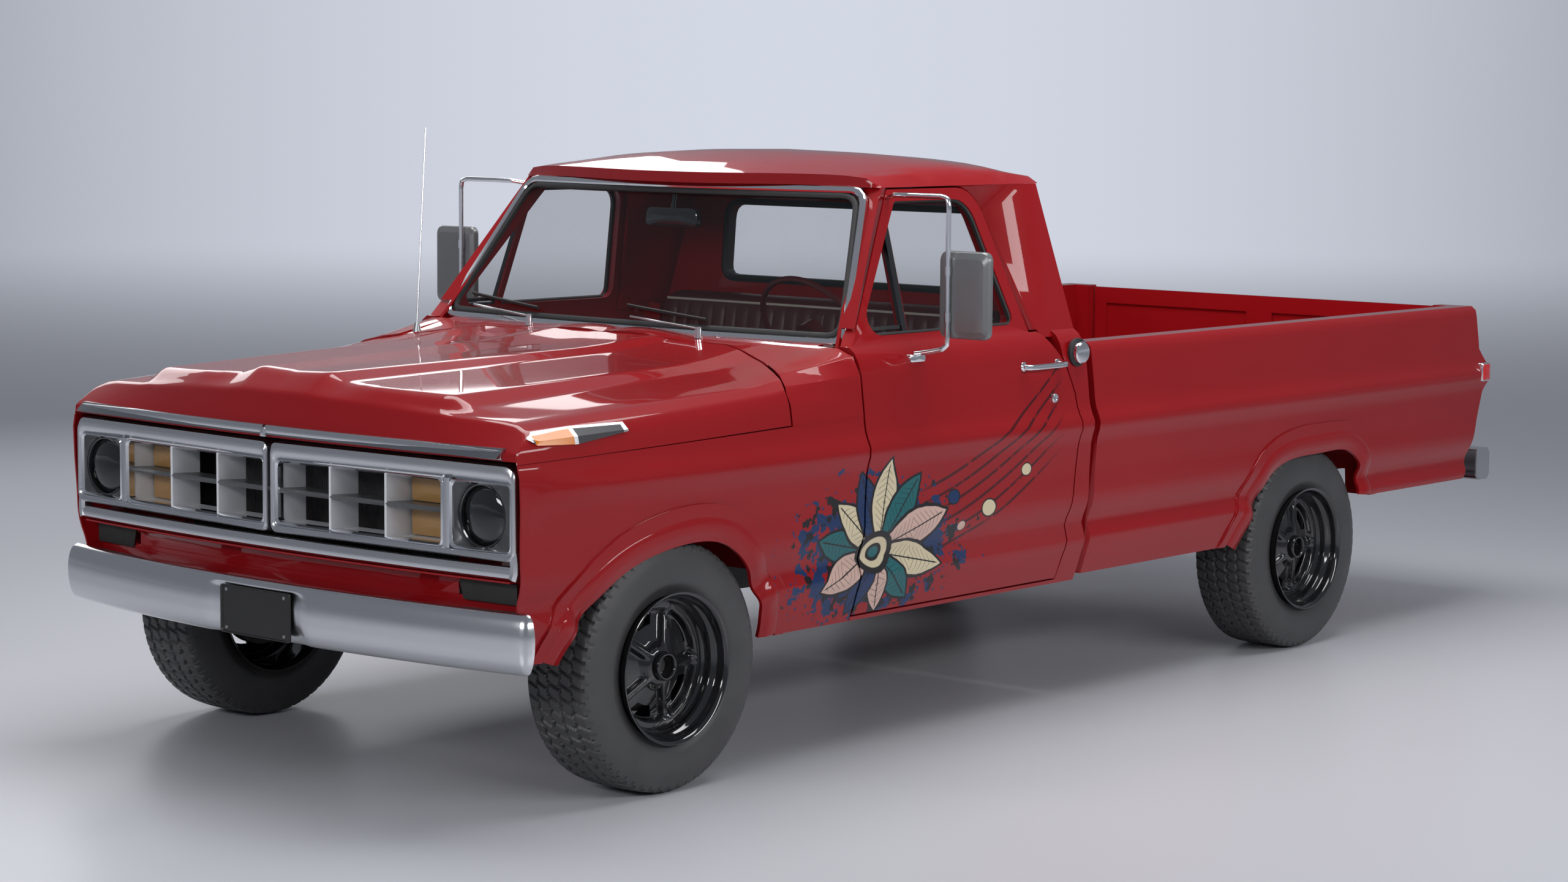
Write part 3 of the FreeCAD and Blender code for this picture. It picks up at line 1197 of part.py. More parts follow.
def bumper_line():
    """Plan stations of the bumper's face with their outward directions, from the middle to the turned end."""
    line = []
    for y in (0.0, 171.0, 340.0, 520.0, 700.0, 850.0, bumper_half - bumper_corner):
        slope = 2 * bumper_sag * y / bumper_half ** 2
        line.append((V(bumper_face_x - bumper_sag * (y / bumper_half) ** 2, y, 0), math.atan(slope)))
    end, turn = line[-1]
    centre = end - V(math.cos(turn), math.sin(turn), 0) * bumper_corner
    for angle in (30.0, 50.0, 70.0, 88.0):
        a = math.radians(angle)
        line.append((centre + V(math.cos(a), math.sin(a), 0) * bumper_corner, a))
    return line


def front_bumper():
    """Pressed bumper, bowed and turned back at its ends, with the number plate's recess and its brackets."""
    half = bumper_line()
    line = [(V(p.x, -p.y, 0), -a) for p, a in reversed(half[1:])] + half
    wires = []
    for p, a in line:
        out = V(math.cos(a), math.sin(a), 0)
        ring = [p - out * u + V(0, 0, z) for u, z in bumper_outline]
        wires.append(Part.makePolygon(ring + [ring[0]]))
    shell = Part.makeLoft(wires, True, True)
    pan = box(bumper_face_x - 18, bumper_face_x - 3, -plate_half - 6, plate_half + 6, bumper_z0 + 3, plate_z1 + 6)
    recess = box(bumper_face_x - 12, bumper_face_x + 20, -plate_half, plate_half, plate_z0 - 20, plate_z1)
    beam = shell.fuse(pan).cut(recess)
    stays = []
    for side in (1, -1):
        y0, y1 = sorted((side * (frame_outer_y + seat_gap), side * (frame_outer_y + 12.0)))
        stays.append(box(frame_front_x - 120, bumper_face_x - bumper_sag * 0.2 - 2, y0, y1, 450, 520))
    return one(beam.fuse(stays))


export("front_bumper", front_bumper())

rear_face_x = axle_rear_x - rear_overhang
rear_bumper_half = 913.0


def rear_bumper():
    """Channel-section rear bumper with a ball-hitch hole in its step and plates to the frame."""
    x0, x1 = rear_face_x, rear_face_x + 102.0
    z0, z1 = 484.0, 607.0
    outline = rounded_outline([(x1, z0 + 20, 8), (x1, z1, 8), (x0 + 14, z1, 10), (x0, z1 - 24, 10), (x0, z0 + 20, 10), (x0 + 14, z0, 10),
                               (x1 - 20, z0, 8)])
    beam = plate_xz(outline, -rear_bumper_half, rear_bumper_half)
    core = plate_xz([(x0 + 6, z0 + 18), (x0 + 6, z1 - 26), (x0 + 18, z1 - 6), (x1 + 5, z1 - 6), (x1 + 5, z0 + 6), (x0 + 18, z0 + 6)],
                    -rear_bumper_half + 6, rear_bumper_half - 6)
    hole = Part.makeCylinder(hitch_hole / 2, 60.0, V(hitch_x, 0, z1 - 40))
    stays = []
    for side in (1, -1):
        y0, y1 = sorted((side * (frame_outer_y + 0.3), side * (frame_outer_y + 12.0)))
        stays.append(box(x0 + 8, frame_rear_x + 120, y0, y1, 510, 600))
    return one(beam.cut(core).cut(hole).fuse(stays))


hitch_hole = 26.0
hitch_x = rear_face_x + 56.0
export("rear_bumper", rear_bumper())


trim_gap = 0.3
marker_depth = 7.0
spear = [(axle_front_x + 548, 1048), (axle_front_x + 530, 1064), (axle_front_x + 386, 1071),
         (axle_front_x + 194, 1071), (axle_front_x + 190, 1046), (axle_front_x + 386, 1024),
         (axle_front_x + 524, 1030)]


def hood_trim():
    """Bright strip along the hood's front lip and the pointed side markers, seated on the skin."""
    strip = swept_bar(hood_lip_x, 40.0, -905.0, 905.0, 990.0, 1200.0)
    strip = strip.cut(swept_bar(hood_face_x + trim_gap, 60.0, -940.0, 940.0, 990.0, 1200.0))
    strip = strip.common(box(hood_lip_x - 300, hood_lip_x + 10, -1000, 1000, 998.0, 1024.0))
    halves = strip.cut(box(hood_lip_x - 60, hood_lip_x + 10, -4, 4, 990, 1040))
    inside = upper_core(hood_stations[:12], 0.0)
    outside = inside.copy()
    outside.translate(V(0, marker_depth, 0))
    marker = plate_xz(spear, 880.0, 1010.0).common(outside).cut(inside)
    marker.translate(V(0, trim_gap, 0))
    proud = [marker, mirrored(marker)]
    return Part.makeCompound([halves] + proud)


export("hood_trim", hood_trim())


def tail_lamp(side):
    """Upright tail lamp on the sloping rear of the bed's side."""
    a, b = V(bed_rear_x - 12, 0, 850), V(axle_rear_x - 1138, 0, 536)
    along = (b - a).normalize()
    out = V(-1, 0, 0) - along * along.dot(V(-1, 0, 0))
    out.normalize()
    p, q = a + along * 20 + out * 0.3, a + along * 215 + out * 0.3
    outline = [(v.x, v.z) for v in (p, q, q + out * 16 - along * 6, p + out * 16 + along * 6)]
    return plate_xz(outline, *sorted((side * 884.0, side * 962.0)))


export("tail_lamps", Part.makeCompound([tail_lamp(1), tail_lamp(-1)]))

# Exhaust, antenna and wipers

exhaust_y = -285.0
pipe_radius = 24.0


def exhaust():
    """Single exhaust: front pipe, silencer and tail pipe over the axle, hung from the frame."""
    front = rod([(axle_front_x - 300, -262, 560), (axle_front_x - 520, exhaust_y, 400),
                 (axle_front_x - 1500, exhaust_y, 400)], pipe_radius, 90.0)
    silencer = Part.makeCylinder(80.0, 520.0, V(axle_front_x - 2000, exhaust_y, 400), V(1, 0, 0))
    tail = rod([(axle_front_x - 1999, exhaust_y, 400), (axle_rear_x + 420, exhaust_y, 400),
                (axle_rear_x + 150, exhaust_y, 540), (axle_rear_x - 180, exhaust_y, 540),
                (axle_rear_x - 420, exhaust_y, 420), (axle_rear_x - 1040, exhaust_y, 420)], pipe_radius, 90.0)
    return one(front.fuse([silencer, tail]).cut(engine))


export("exhaust", exhaust())


def cowl_fittings():
    """Whip antenna on the right of the cowl and the two wipers with their pivots."""
    base = V(axle_front_x - 640.0, -770.0, 1176.0)
    cone = Part.makeCone(16.0, 7.0, 34.0, base)
    mast = Part.makeCylinder(2.6, 640.0, base + V(0, 0, 33), V(-0.12, -0.06, 1))
    pieces = [cone.fuse(mast)]
    for pivot_y, reach in ((-369.0, -72.0), (369.0, -44.0)):
        pivot = V(glass_foot_x + 60.0, pivot_y, 1228.0)
        post = Part.makeCylinder(11.0, 36.0, pivot - V(0, 0, 12))
        tip = pivot + V(reach, -330.0, 36.0)
        arm = rod([(pivot.x, pivot.y, pivot.z + 18), (tip.x, tip.y, tip.z)], 4.0)
        pieces.append(post.fuse(arm))
    clear = [piece.cut(cowl_shape).Solids for piece in pieces]
    return Part.makeCompound([max(solids, key=lambda solid: solid.BoundBox.ZMax) for solids in clear])


export("cowl_fittings", cowl_fittings())
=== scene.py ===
"""A red full-size pickup truck of the 1970s: paint, bright work, tyres, cab trim and the studio round it.

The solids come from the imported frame. Each body panel gets a merged, smooth copy, and the trim that the
solids leave out is made here as surfaces of two parameters. Lengths are in metres, +X ahead, +Z up;
outlines inside mm() are in millimetres.
"""
import json
import math
import bmesh
import bpy
import numpy as np
from mathutils import Matrix, Vector


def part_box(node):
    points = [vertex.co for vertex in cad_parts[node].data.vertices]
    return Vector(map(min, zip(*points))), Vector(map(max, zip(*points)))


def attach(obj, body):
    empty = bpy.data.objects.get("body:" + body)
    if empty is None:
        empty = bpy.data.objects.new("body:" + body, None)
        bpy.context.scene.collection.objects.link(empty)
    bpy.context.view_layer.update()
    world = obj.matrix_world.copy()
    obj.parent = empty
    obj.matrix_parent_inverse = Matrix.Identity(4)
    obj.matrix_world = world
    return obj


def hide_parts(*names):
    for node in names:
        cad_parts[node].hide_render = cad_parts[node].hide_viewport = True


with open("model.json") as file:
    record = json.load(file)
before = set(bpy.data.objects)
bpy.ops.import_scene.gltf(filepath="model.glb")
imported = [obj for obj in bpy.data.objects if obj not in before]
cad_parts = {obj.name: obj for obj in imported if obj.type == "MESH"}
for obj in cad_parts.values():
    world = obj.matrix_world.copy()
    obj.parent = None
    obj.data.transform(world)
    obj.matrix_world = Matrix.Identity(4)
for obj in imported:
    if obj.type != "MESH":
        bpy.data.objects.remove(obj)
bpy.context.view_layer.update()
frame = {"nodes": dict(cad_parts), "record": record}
bodies = frame["record"]["behaviour"]["bodies"]
body_of_node = {node: body for body, members in bodies.items() for node in members}
scene = bpy.context.scene

# Stations read from the frame

wheel_low, wheel_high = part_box("tyre_front_left")
front_axle = (wheel_low.x + wheel_high.x) / 2
rear_axle = sum(corner.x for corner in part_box("tyre_rear_left")) / 2
tyre_radius = (wheel_high.z - wheel_low.z) / 2
tyre_half = (wheel_high.y - wheel_low.y) / 2


def middle_of(node):
    """The middle of a solid's box."""
    return np.mean(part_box(node), 0)


def arithmetic(operation):
    """A method of a wire that adds the Math node of one operation."""
    return lambda wire, *values: wire.math(operation, *values)


class Wire:
    """One output socket of a finish. Arithmetic on it adds Math nodes to that finish."""

    def __init__(self, finish, output):
        self.finish, self.output = finish, output

    def math(self, operation, *values):
        inputs = dict(enumerate((self, *values)))
        return self.finish.node("ShaderNodeMath", {"operation": operation}, inputs)

    __abs__ = arithmetic("ABSOLUTE")
    __add__ = __radd__ = arithmetic("ADD")
    __mul__ = __rmul__ = arithmetic("MULTIPLY")
    __sub__ = arithmetic("SUBTRACT")
    __truediv__ = arithmetic("DIVIDE")

    def __rsub__(self, other):
        return self * -1.0 + other

    def rise(self, low, high):
        """0 below low, 1 above high, an even smooth step between them."""
        inputs = {"Value": self, "From Min": low, "From Max": high}
        return self.finish.node("ShaderNodeMapRange", {"interpolation_type": "SMOOTHSTEP"}, inputs)

    def fall(self, low, high):
        """1 below low, 0 above high."""
        return 1.0 - self.rise(low, high)

    def waves(self, pitch):
        """A sine of the given length."""
        return (self * (2.0 * math.pi / pitch)).math("SINE")


class Finish:
    """A procedural material on object coordinates.

    A finish whose roughness wanders is given (low, high, scale) for it. Constants are set on the shader's
    own sockets.
    """

    def __init__(self, name, colour=(0.5, 0.5, 0.5), roughness=0.5, metallic=0.0, **constants):
        self.material = bpy.data.materials.new(name)
        self.material.use_nodes = True
        self.tree = self.material.node_tree
        self.shader = self.tree.nodes["Principled BSDF"]
        self.place = self.node("ShaderNodeTexCoord", {}, {}, "Object")
        self.set("Base Color", (*colour, 1.0))
        self.set("Roughness", self.worn(*roughness) if isinstance(roughness, tuple) else roughness)
        self.set("Metallic", metallic)
        for socket, value in constants.items():
            self.set(socket.replace("_", " "), value)

    def set(self, socket, value):
        self.feed(self.shader.inputs[socket], value)

    def feed(self, socket, value):
        if isinstance(value, Wire):
            self.tree.links.new(value.output, socket)
        else:
            socket.default_value = value

    def node(self, kind, settings, inputs, output=0):
        """Adds a node, gives it its settings, then its sockets' values or links; returns one output."""
        made = self.tree.nodes.new(kind)
        for key, value in settings.items():
            setattr(made, key, value)
        for key, value in inputs.items():
            self.feed(made.inputs[key], value)
        return Wire(self, made.outputs[output])

    def axes(self):
        """The object coordinates as three numbers."""
        split = self.tree.nodes.new("ShaderNodeSeparateXYZ")
        self.feed(split.inputs[0], self.place)
        return [Wire(self, split.outputs[k]) for k in range(3)]

    def colour(self):
        """The wire that feeds the base colour."""
        return Wire(self, self.shader.inputs["Base Color"].links[0].from_socket)

    def noise(self, scale, detail=3.0, stretch=(1.0, 1.0, 1.0)):
        spot = self.node("ShaderNodeMapping", {}, {"Vector": self.place, "Scale": stretch})
        return self.node("ShaderNodeTexNoise", {}, {"Vector": spot, "Scale": scale, "Detail": detail})

    def mix(self, share, low, high):
        """A colour between low and high."""
        ends = [shade if isinstance(shade, Wire) else (*shade, 1.0) for shade in (low, high)]
        return self.node("ShaderNodeMix", {"data_type": "RGBA"}, {0: share, 6: ends[0], 7: ends[1]}, 2)

    def bump(self, height, strength, distance=0.001):
        inputs = {"Height": height, "Strength": strength, "Distance": distance}
        self.set("Normal", self.node("ShaderNodeBump", {}, inputs))

    def worn(self, low, high, scale, stretch=(1.0, 1.0, 1.0)):
        """A roughness that wanders between two values, as on a surface that is handled and washed."""
        return low + (high - low) * self.noise(scale, 4.0, stretch)


# Finishes

red = (0.315, 0.0055, 0.0085)
deep_red = (0.262, 0.0036, 0.0060)
satin_shade = (0.66, 0.67, 0.69)
black_shade = (0.028, 0.027, 0.027)


def car_paint(name):
    """Gloss enamel under a clear coat: a slow drift of tone and a faint orange peel."""
    finish = Finish(name, red, (0.36, 0.46, 7.0), Coat_Weight=1.0, Coat_Roughness=0.03, Coat_IOR=1.34,
                    Specular_IOR_Level=0.08)
    finish.set("Base Color", finish.mix(finish.noise(1.6, 2.0), deep_red, red))
    finish.bump(finish.noise(420.0, 1.0), 0.02, 0.0003)
    return finish


paint = car_paint("red_enamel")
chrome = Finish("chrome", (0.82, 0.83, 0.85), (0.06, 0.14, 6.0), 1.0)
satin = Finish("satin_chrome", satin_shade, (0.17, 0.24, 3.0, (1.0, 1.0, 6.0)), 1.0)
aluminium = Finish("bright_aluminium", (0.64, 0.65, 0.67), (0.22, 0.29, 5.0), 1.0)
rubber = Finish("black_rubber", (0.018, 0.018, 0.019), (0.5, 0.72, 30.0))
gloss_black = Finish("gloss_black", (0.010, 0.010, 0.011), (0.08, 0.14, 5.0), Coat_Weight=0.8)
lamp_grey = Finish("lamp_panel_grey", (0.075, 0.078, 0.082), (0.30, 0.38, 8.0), 0.5)
cast = Finish("cast_iron", (0.055, 0.053, 0.05), (0.5, 0.8, 18.0), 0.3)
chassis_black = Finish("chassis_black", black_shade, (0.42, 0.7, 8.0))
dull_steel = Finish("dull_steel", (0.33, 0.33, 0.33), (0.35, 0.6, 20.0), 0.9)
vinyl = Finish("dark_red_vinyl", (0.085, 0.012, 0.014), (0.34, 0.52, 30.0))
vinyl.bump(vinyl.noise(900.0, 2.0), 0.25, 0.0006)
piping = Finish("cream_piping", (0.62, 0.57, 0.50), (0.38, 0.55, 40.0))
dash_red = Finish("dark_red_moulding", (0.10, 0.012, 0.014), (0.3, 0.46, 26.0))
plate_black = Finish("plate_black", (0.014, 0.013, 0.012), (0.28, 0.45, 30.0))
amber = Finish("amber_lens", (0.70, 0.20, 0.012), 0.12, Coat_Weight=1.0)
amber.bump(amber.noise(220.0, 1.0), 0.3)
brown_lamp = Finish("amber_lamp_behind_grille", (0.36, 0.20, 0.07), (0.2, 0.4, 90.0), Coat_Weight=0.6)
red_lens = Finish("red_lens", (0.62, 0.012, 0.012), 0.1, Coat_Weight=1.0)
red_lens.bump(red_lens.noise(260.0, 1.0), 0.3)
mirror_glass = Finish("mirror_glass", (0.86, 0.88, 0.9), (0.02, 0.06, 8.0), 1.0)
underside = Finish("underseal", (0.02, 0.019, 0.018), (0.62, 0.85, 24.0))
underside.bump(underside.noise(160.0), 0.5)


def decorated_enamel():
    """The enamel with a painted splash on the left side: a fan of leaves over ink, with streaks behind it.

    A leaf is where |v| / width + (u / length) ** 2 stays under one, in its own turned axes; the ink is a
    noise that thins out with an ellipse's distance, and each streak is a parabola that rises to the rear.
    """
    finish = car_paint("decorated_enamel")
    x, y, z = finish.axes()
    x = x - front_axle
    tint = finish.colour()
    outside = y.rise(0.93, 0.935)
    black, navy, teal = (0.010, 0.008, 0.010), (0.008, 0.030, 0.105), (0.008, 0.120, 0.130)
    cream, blush, ember = (0.66, 0.57, 0.38), (0.62, 0.42, 0.35), (0.060, 0.003, 0.005)
    wobble = finish.noise(14.0) * 0.22 - 0.11
    fan_x, fan_z = -0.885, 0.600

    def lay(mask, shade):
        nonlocal tint
        tint = finish.mix(mask * outside, tint, shade)

    back = x * -1.0 - 1.02
    broken = finish.noise(26.0, 4.0).rise(0.30, 0.46)
    for k in range(6):
        curve = back * back * 0.36 + back * (0.10 + 0.012 * k) + (0.545 + 0.042 * k)
        offset = abs(z - curve)
        ends = back.rise(0.02, 0.16) * back.fall(0.62 + 0.03 * k, 0.82)
        lay(offset.fall(0.0035, 0.0065) * ends * broken, ember)
    spread_x, spread_z = (x - fan_x) * (1.0 / 0.40), (z - fan_z) * (1.0 / 0.215)
    spread = spread_x * spread_x + spread_z * spread_z
    splash = finish.noise(17.0, 4.0) - spread * 0.17
    lay(splash.rise(0.395, 0.405), navy)
    lay((finish.noise(24.0) - spread * 0.15).rise(0.455, 0.465), black)
    spots = finish.node("ShaderNodeTexVoronoi", {}, {"Vector": finish.place, "Scale": 34.0})
    lay(spots.fall(0.15, 0.19) * spread.rise(0.5, 0.7) * spread.fall(1.2, 1.7), navy)
    leaves = ((12, 0.27, 0.052, teal), (40, 0.24, 0.050, cream), (70, 0.25, 0.052, navy),
              (99, 0.27, 0.060, cream), (131, 0.28, 0.056, teal), (163, 0.33, 0.062, blush),
              (192, 0.31, 0.056, cream), (222, 0.23, 0.048, teal), (258, 0.185, 0.044, blush),
              (300, 0.20, 0.046, navy), (338, 0.25, 0.052, blush))
    for degrees, length, width, shade in leaves:
        lean = math.radians(degrees)
        cx, cz = fan_x + 0.56 * length * math.cos(lean), fan_z + 0.56 * length * math.sin(lean)
        u = (x - cx) * math.cos(lean) + (z - cz) * math.sin(lean)
        v = (z - cz) * math.cos(lean) - (x - cx) * math.sin(lean)
        reach = u * u * (4.0 / length ** 2) + abs(v) * (1.0 / width) + wobble
        lay(reach.fall(1.08, 1.12), black)
        lay(reach.fall(0.90, 0.94), shade)
        ribs = (abs(u) * 1.6 + abs(v)).waves(0.030).rise(0.86, 0.94)
        vein = abs(v).fall(0.0014, 0.0028)
        lay((vein + ribs * 0.6) * reach.fall(0.62, 0.80), black)
    dots = ((-1.43, 0.685, 0.026, cream), (-1.62, 0.790, 0.019, cream), (-1.30, 0.640, 0.015, blush),
            (-1.25, 0.735, 0.021, navy), (fan_x, fan_z, 0.056, black), (fan_x, fan_z, 0.048, cream),
            (fan_x, fan_z, 0.024, black), (fan_x, fan_z, 0.018, teal))
    for cx, cz, radius, shade in dots:
        reach = ((x - cx) * (x - cx) * 0.6 + (z - cz) * (z - cz)) * (1.0 / radius ** 2) + wobble * 2.0
        lay(reach.fall(1.3, 1.45), black)
        lay(reach.fall(0.9, 1.02), shade)
    finish.set("Base Color", tint)
    return finish


decorated = decorated_enamel()


def side_marker():
    """The pointed marker on the hood's side: a bright edge round an amber front and a grey plate."""
    finish = Finish("side_marker")
    x, y, z = finish.axes()
    x = x - front_axle
    low = 1.0285 + (x - 0.524) * (0.006 / 0.138)
    high = 1.0655 - (x - 0.386).rise(0.0, 0.16) * 0.010
    within = (z - low).rise(0.0, 0.001) * (high - z).rise(0.0, 0.001)
    within = within * x.rise(0.207, 0.208) * x.fall(0.528, 0.529)
    side_face = abs(y).rise(0.90, 0.905)
    amber_part = within * x.rise(0.392, 0.393)
    plate_part = within * x.fall(0.378, 0.379)
    shade = finish.mix(plate_part, (0.34, 0.35, 0.37), (0.035, 0.035, 0.040))
    finish.set("Base Color", finish.mix(amber_part, shade, (0.66, 0.19, 0.010)))
    finish.set("Metallic", 1.0 - (amber_part + plate_part * 0.7) * side_face)
    finish.set("Roughness", 0.18 + plate_part * 0.25 + finish.noise(6.0) * 0.06)
    return finish


marker_finish = side_marker()


def rear_bumper_finish():
    """Satin metal on the rear bumper's channel and black on the plates that carry it."""
    finish = Finish("rear_bumper_metal")
    carrier = (finish.axes()[0] - rear_axle).rise(-1.341, -1.339)
    finish.set("Base Color", finish.mix(carrier, satin_shade, black_shade))
    finish.set("Metallic", 1.0 - carrier)
    finish.set("Roughness", 0.18 + carrier * 0.35 + finish.noise(6.0) * 0.05)
    return finish


rear_bumper_metal = rear_bumper_finish()


def louvred_enamel():
    """The cowl's enamel with rows of fine dark slots in front of the windshield."""
    finish = car_paint("louvred_enamel")
    x, y, z = finish.axes()
    x = x - front_axle
    tint = finish.colour()
    row = y.waves(0.015).rise(0.1, 0.5)
    foot = y * y * -0.075
    band = (x - foot).rise(-0.800, -0.798) * (x - foot).fall(-0.766, -0.764) * abs(y).fall(0.70, 0.702)
    finish.set("Base Color", finish.mix(row * band * z.rise(1.15, 1.16), tint, (0.02, 0.002, 0.003)))
    return finish


louvred = louvred_enamel()


def radiator_finish():
    """Black radiator core with fine upright fins."""
    finish = Finish("radiator_core", (0.014, 0.014, 0.014), (0.4, 0.6, 30.0))
    finish.bump(finish.axes()[1].waves(0.008), 0.8, 0.002)
    return finish


core_black = radiator_finish()
fin_paint = Finish("pale_fin_enamel", (0.74, 0.75, 0.78), (0.26, 0.34, 6.0), 0.15)
blade_grey = Finish("grey_blade", (0.16, 0.165, 0.17), (0.26, 0.44, 30.0), 0.6)
mirror_grey = Finish("mirror_shell_grey", (0.20, 0.205, 0.21), (0.24, 0.4, 26.0), 0.4)
glass = Finish("window_glass", (0.012, 0.022, 0.024), 0.03, Alpha=0.12, IOR=1.9)
lens_glass = Finish("lamp_glass", (0.006, 0.006, 0.007), (0.04, 0.08, 12.0), Coat_Weight=0.6)


def tyre_finish():
    """Black rubber whose tone and roughness wander a little at random, with fine scuffs."""
    finish = Finish("tyre_rubber", roughness=(0.40, 0.54, 12.0))
    dark, light = (0.040, 0.040, 0.041), (0.066, 0.066, 0.067)
    finish.set("Base Color", finish.mix(finish.noise(9.0, 4.0), dark, light))
    finish.bump(finish.noise(700.0, 2.0), 0.2, 0.0005)
    return finish


tyre_rubber = tyre_finish()

# Shapes

join_distance = 0.00002
flat_angle, panel_angle, surface_angle = 0.6, 30.0, 34.0


def mended(mesh, last_step):
    """Joins the mesh's double points, then takes one more step on it."""
    work = bmesh.new()
    work.from_mesh(mesh)
    bmesh.ops.remove_doubles(work, verts=work.verts, dist=join_distance)
    last_step(work)
    work.to_mesh(mesh)
    work.free()


def added(name, mesh, finish, body, angle):
    """A piece with the mesh, smooth where its faces meet at less than the angle, that rides on the body."""
    piece = bpy.data.objects.new(name, mesh)
    scene.collection.objects.link(piece)
    mesh.materials.append(finish.material)
    if angle:
        mesh.shade_smooth()
        mesh.set_sharp_from_angle(angle=math.radians(angle))
    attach(piece, body)
    return piece


def surface(name, grid, finish, body="chassis", closed=(False, False), smooth=True):
    """A mesh from a grid of points (rows, columns, 3), or from several (parts, rows, columns, 3), with its
    faces turned outwards; closed joins the last row or column to the first."""
    grid = np.asarray(grid, float)
    rows, columns = grid.shape[-3:-1]
    ids = np.arange(grid.size // 3).reshape(-1, rows, columns)
    if closed[0]:
        ids = np.concatenate([ids, ids[:, :1]], 1)
    if closed[1]:
        ids = np.concatenate([ids, ids[:, :, :1]], 2)
    quads = np.stack([ids[:, :-1, :-1], ids[:, 1:, :-1], ids[:, 1:, 1:], ids[:, :-1, 1:]], -1)
    mesh = bpy.data.meshes.new(name)
    mesh.from_pydata(grid.reshape(-1, 3).tolist(), [], quads.reshape(-1, 4).tolist())
    mended(mesh, lambda work: bmesh.ops.recalc_face_normals(work, faces=work.faces))
    return added(name, mesh, finish, body, smooth and surface_angle)


def panel(node, finish):
    """A merged copy of one solid that stands for it, with flat regions joined and shallow edges smooth."""
    mesh = frame["nodes"][node].data.copy()
    mesh.materials.clear()
    mended(mesh, lambda work: bmesh.ops.dissolve_limit(
        work, angle_limit=math.radians(flat_angle), verts=work.verts, edges=work.edges))
    piece = added(node + "_shell", mesh, finish, body_of_node[node], panel_angle)
    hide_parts(node)
    return piece


def mm(points):
    """Points that are given in millimetres."""
    return np.array(points) / 1000.0


def unit(vectors):
    """The vectors at length one."""
    return vectors / np.linalg.norm(vectors, axis=-1, keepdims=True)


def capped(grid):
    """The rings of a grid with one more at each end, all in the middle of the end's own ring."""
    middle = grid.mean(1, keepdims=True) + 0.0 * grid
    return np.concatenate([middle[:1], grid, middle[-1:]])


def corners(u0, v0, u1, v1):
    """The four corners of an upright rectangle."""
    return [(u0, v0), (u1, v0), (u1, v1), (u0, v1)]


def across_at(x, edge):
    """The outline (y, z) set across the truck at the station x."""
    return np.column_stack([x + 0.0 * edge[:, 0], edge])


def along_at(y, edge):
    """The outline (x, z) set along the truck at the distance y from its middle."""
    return np.column_stack([edge[:, 0], y + 0.0 * edge[:, 0], edge[:, 1]])


def rounded(outline, radii, count=9):
    """A closed outline with eased corners: each is a quadratic curve between points one radius away."""
    outline = np.asarray(outline, float)
    reach = np.broadcast_to(radii, len(outline))[:, None]
    back = np.roll(outline, 1, 0) - outline
    on = np.roll(outline, -1, 0) - outline
    start = outline + unit(back) * reach
    end = outline + unit(on) * reach
    t = np.linspace(0.0, 1.0, count)[None, :, None]
    curve = (1 - t) ** 2 * start[:, None] + 2 * t * (1 - t) * outline[:, None] + t ** 2 * end[:, None]
    return curve.reshape(-1, outline.shape[1])


def resampled(path, count, closed=False):
    """The path as count points at even distances along it."""
    path = np.asarray(path, float)
    if closed:
        path = np.vstack([path, path[:1]])
    run = np.append(0.0, np.cumsum(np.linalg.norm(np.diff(path, axis=0), axis=1)))
    spots = np.linspace(0.0, run[-1], count, endpoint=not closed)
    return np.stack([np.interp(spots, run, path[:, k]) for k in range(path.shape[1])], -1)


def softened(path, times, closed=False):
    """The path with its corners eased: each pass moves a point halfway to the mean of its neighbours."""
    path = np.array(path, float)
    for _ in range(times):
        mean = (np.roll(path, 1, 0) + np.roll(path, -1, 0)) / 2
        if not closed:
            mean[0], mean[-1] = path[0], path[-1]
        path = (path + mean) / 2
    return path


def spline(points, count):
    """An even curve through the points: a natural cubic over their distances, solved for its curvatures."""
    points = np.asarray(points, float)
    run = np.append(0.0, np.cumsum(np.linalg.norm(np.diff(points, axis=0), axis=1)))
    gap = np.diff(run)[:, None]
    slope = np.diff(points, axis=0) / gap
    size = len(points)
    matrix = np.eye(size)
    inner = np.arange(1, size - 1)
    matrix[inner, inner - 1] = gap[:-1, 0]
    matrix[inner, inner] = 2.0 * (gap[:-1, 0] + gap[1:, 0])
    matrix[inner, inner + 1] = gap[1:, 0]
    turns = np.concatenate([0 * points[:1], 6.0 * np.diff(slope, axis=0), 0 * points[:1]])
    bend = np.linalg.solve(matrix, turns)
    spots = np.linspace(0.0, run[-1], 12 * count)
    k = np.clip(np.searchsorted(run, spots) - 1, 0, size - 2)
    a, b, h = (run[k + 1] - spots)[:, None], (spots - run[k])[:, None], gap[k]
    curve = (bend[k] * a ** 3 + bend[k + 1] * b ** 3) / (6 * h) + (points[k] / h - bend[k] * h / 6) * a
    return resampled(curve + (points[k + 1] / h - bend[k + 1] * h / 6) * b, count)


def carried(name, path, profile, out, finish, body="chassis", closed=False, smooth=True):
    """A closed profile (across, out) carried along a path; open ends are closed to their centres."""
    path, profile = np.asarray(path, float), np.asarray(profile, float)
    along = unit(np.roll(path, -1, 0) - np.roll(path, 1, 0) if closed else np.gradient(path, axis=0))
    across = unit(np.cross(along, np.broadcast_to(out, path.shape)))
    up = np.cross(across, along)
    grid = path[:, None] + profile[None, :, :1] * across[:, None] + profile[None, :, 1:] * up[:, None]
    return surface(name, grid if closed else capped(grid), finish, body, (closed, True), smooth)


def tube(name, path, radius, finish, body="chassis", count=12, out=(0.0, 0.0, 1.0)):
    """A round profile carried along a path."""
    turn = np.linspace(0.0, 2.0 * np.pi, count, endpoint=False)
    circle = np.stack([radius * np.cos(turn), radius * np.sin(turn)], -1)
    return carried(name, path, circle, out, finish, body)


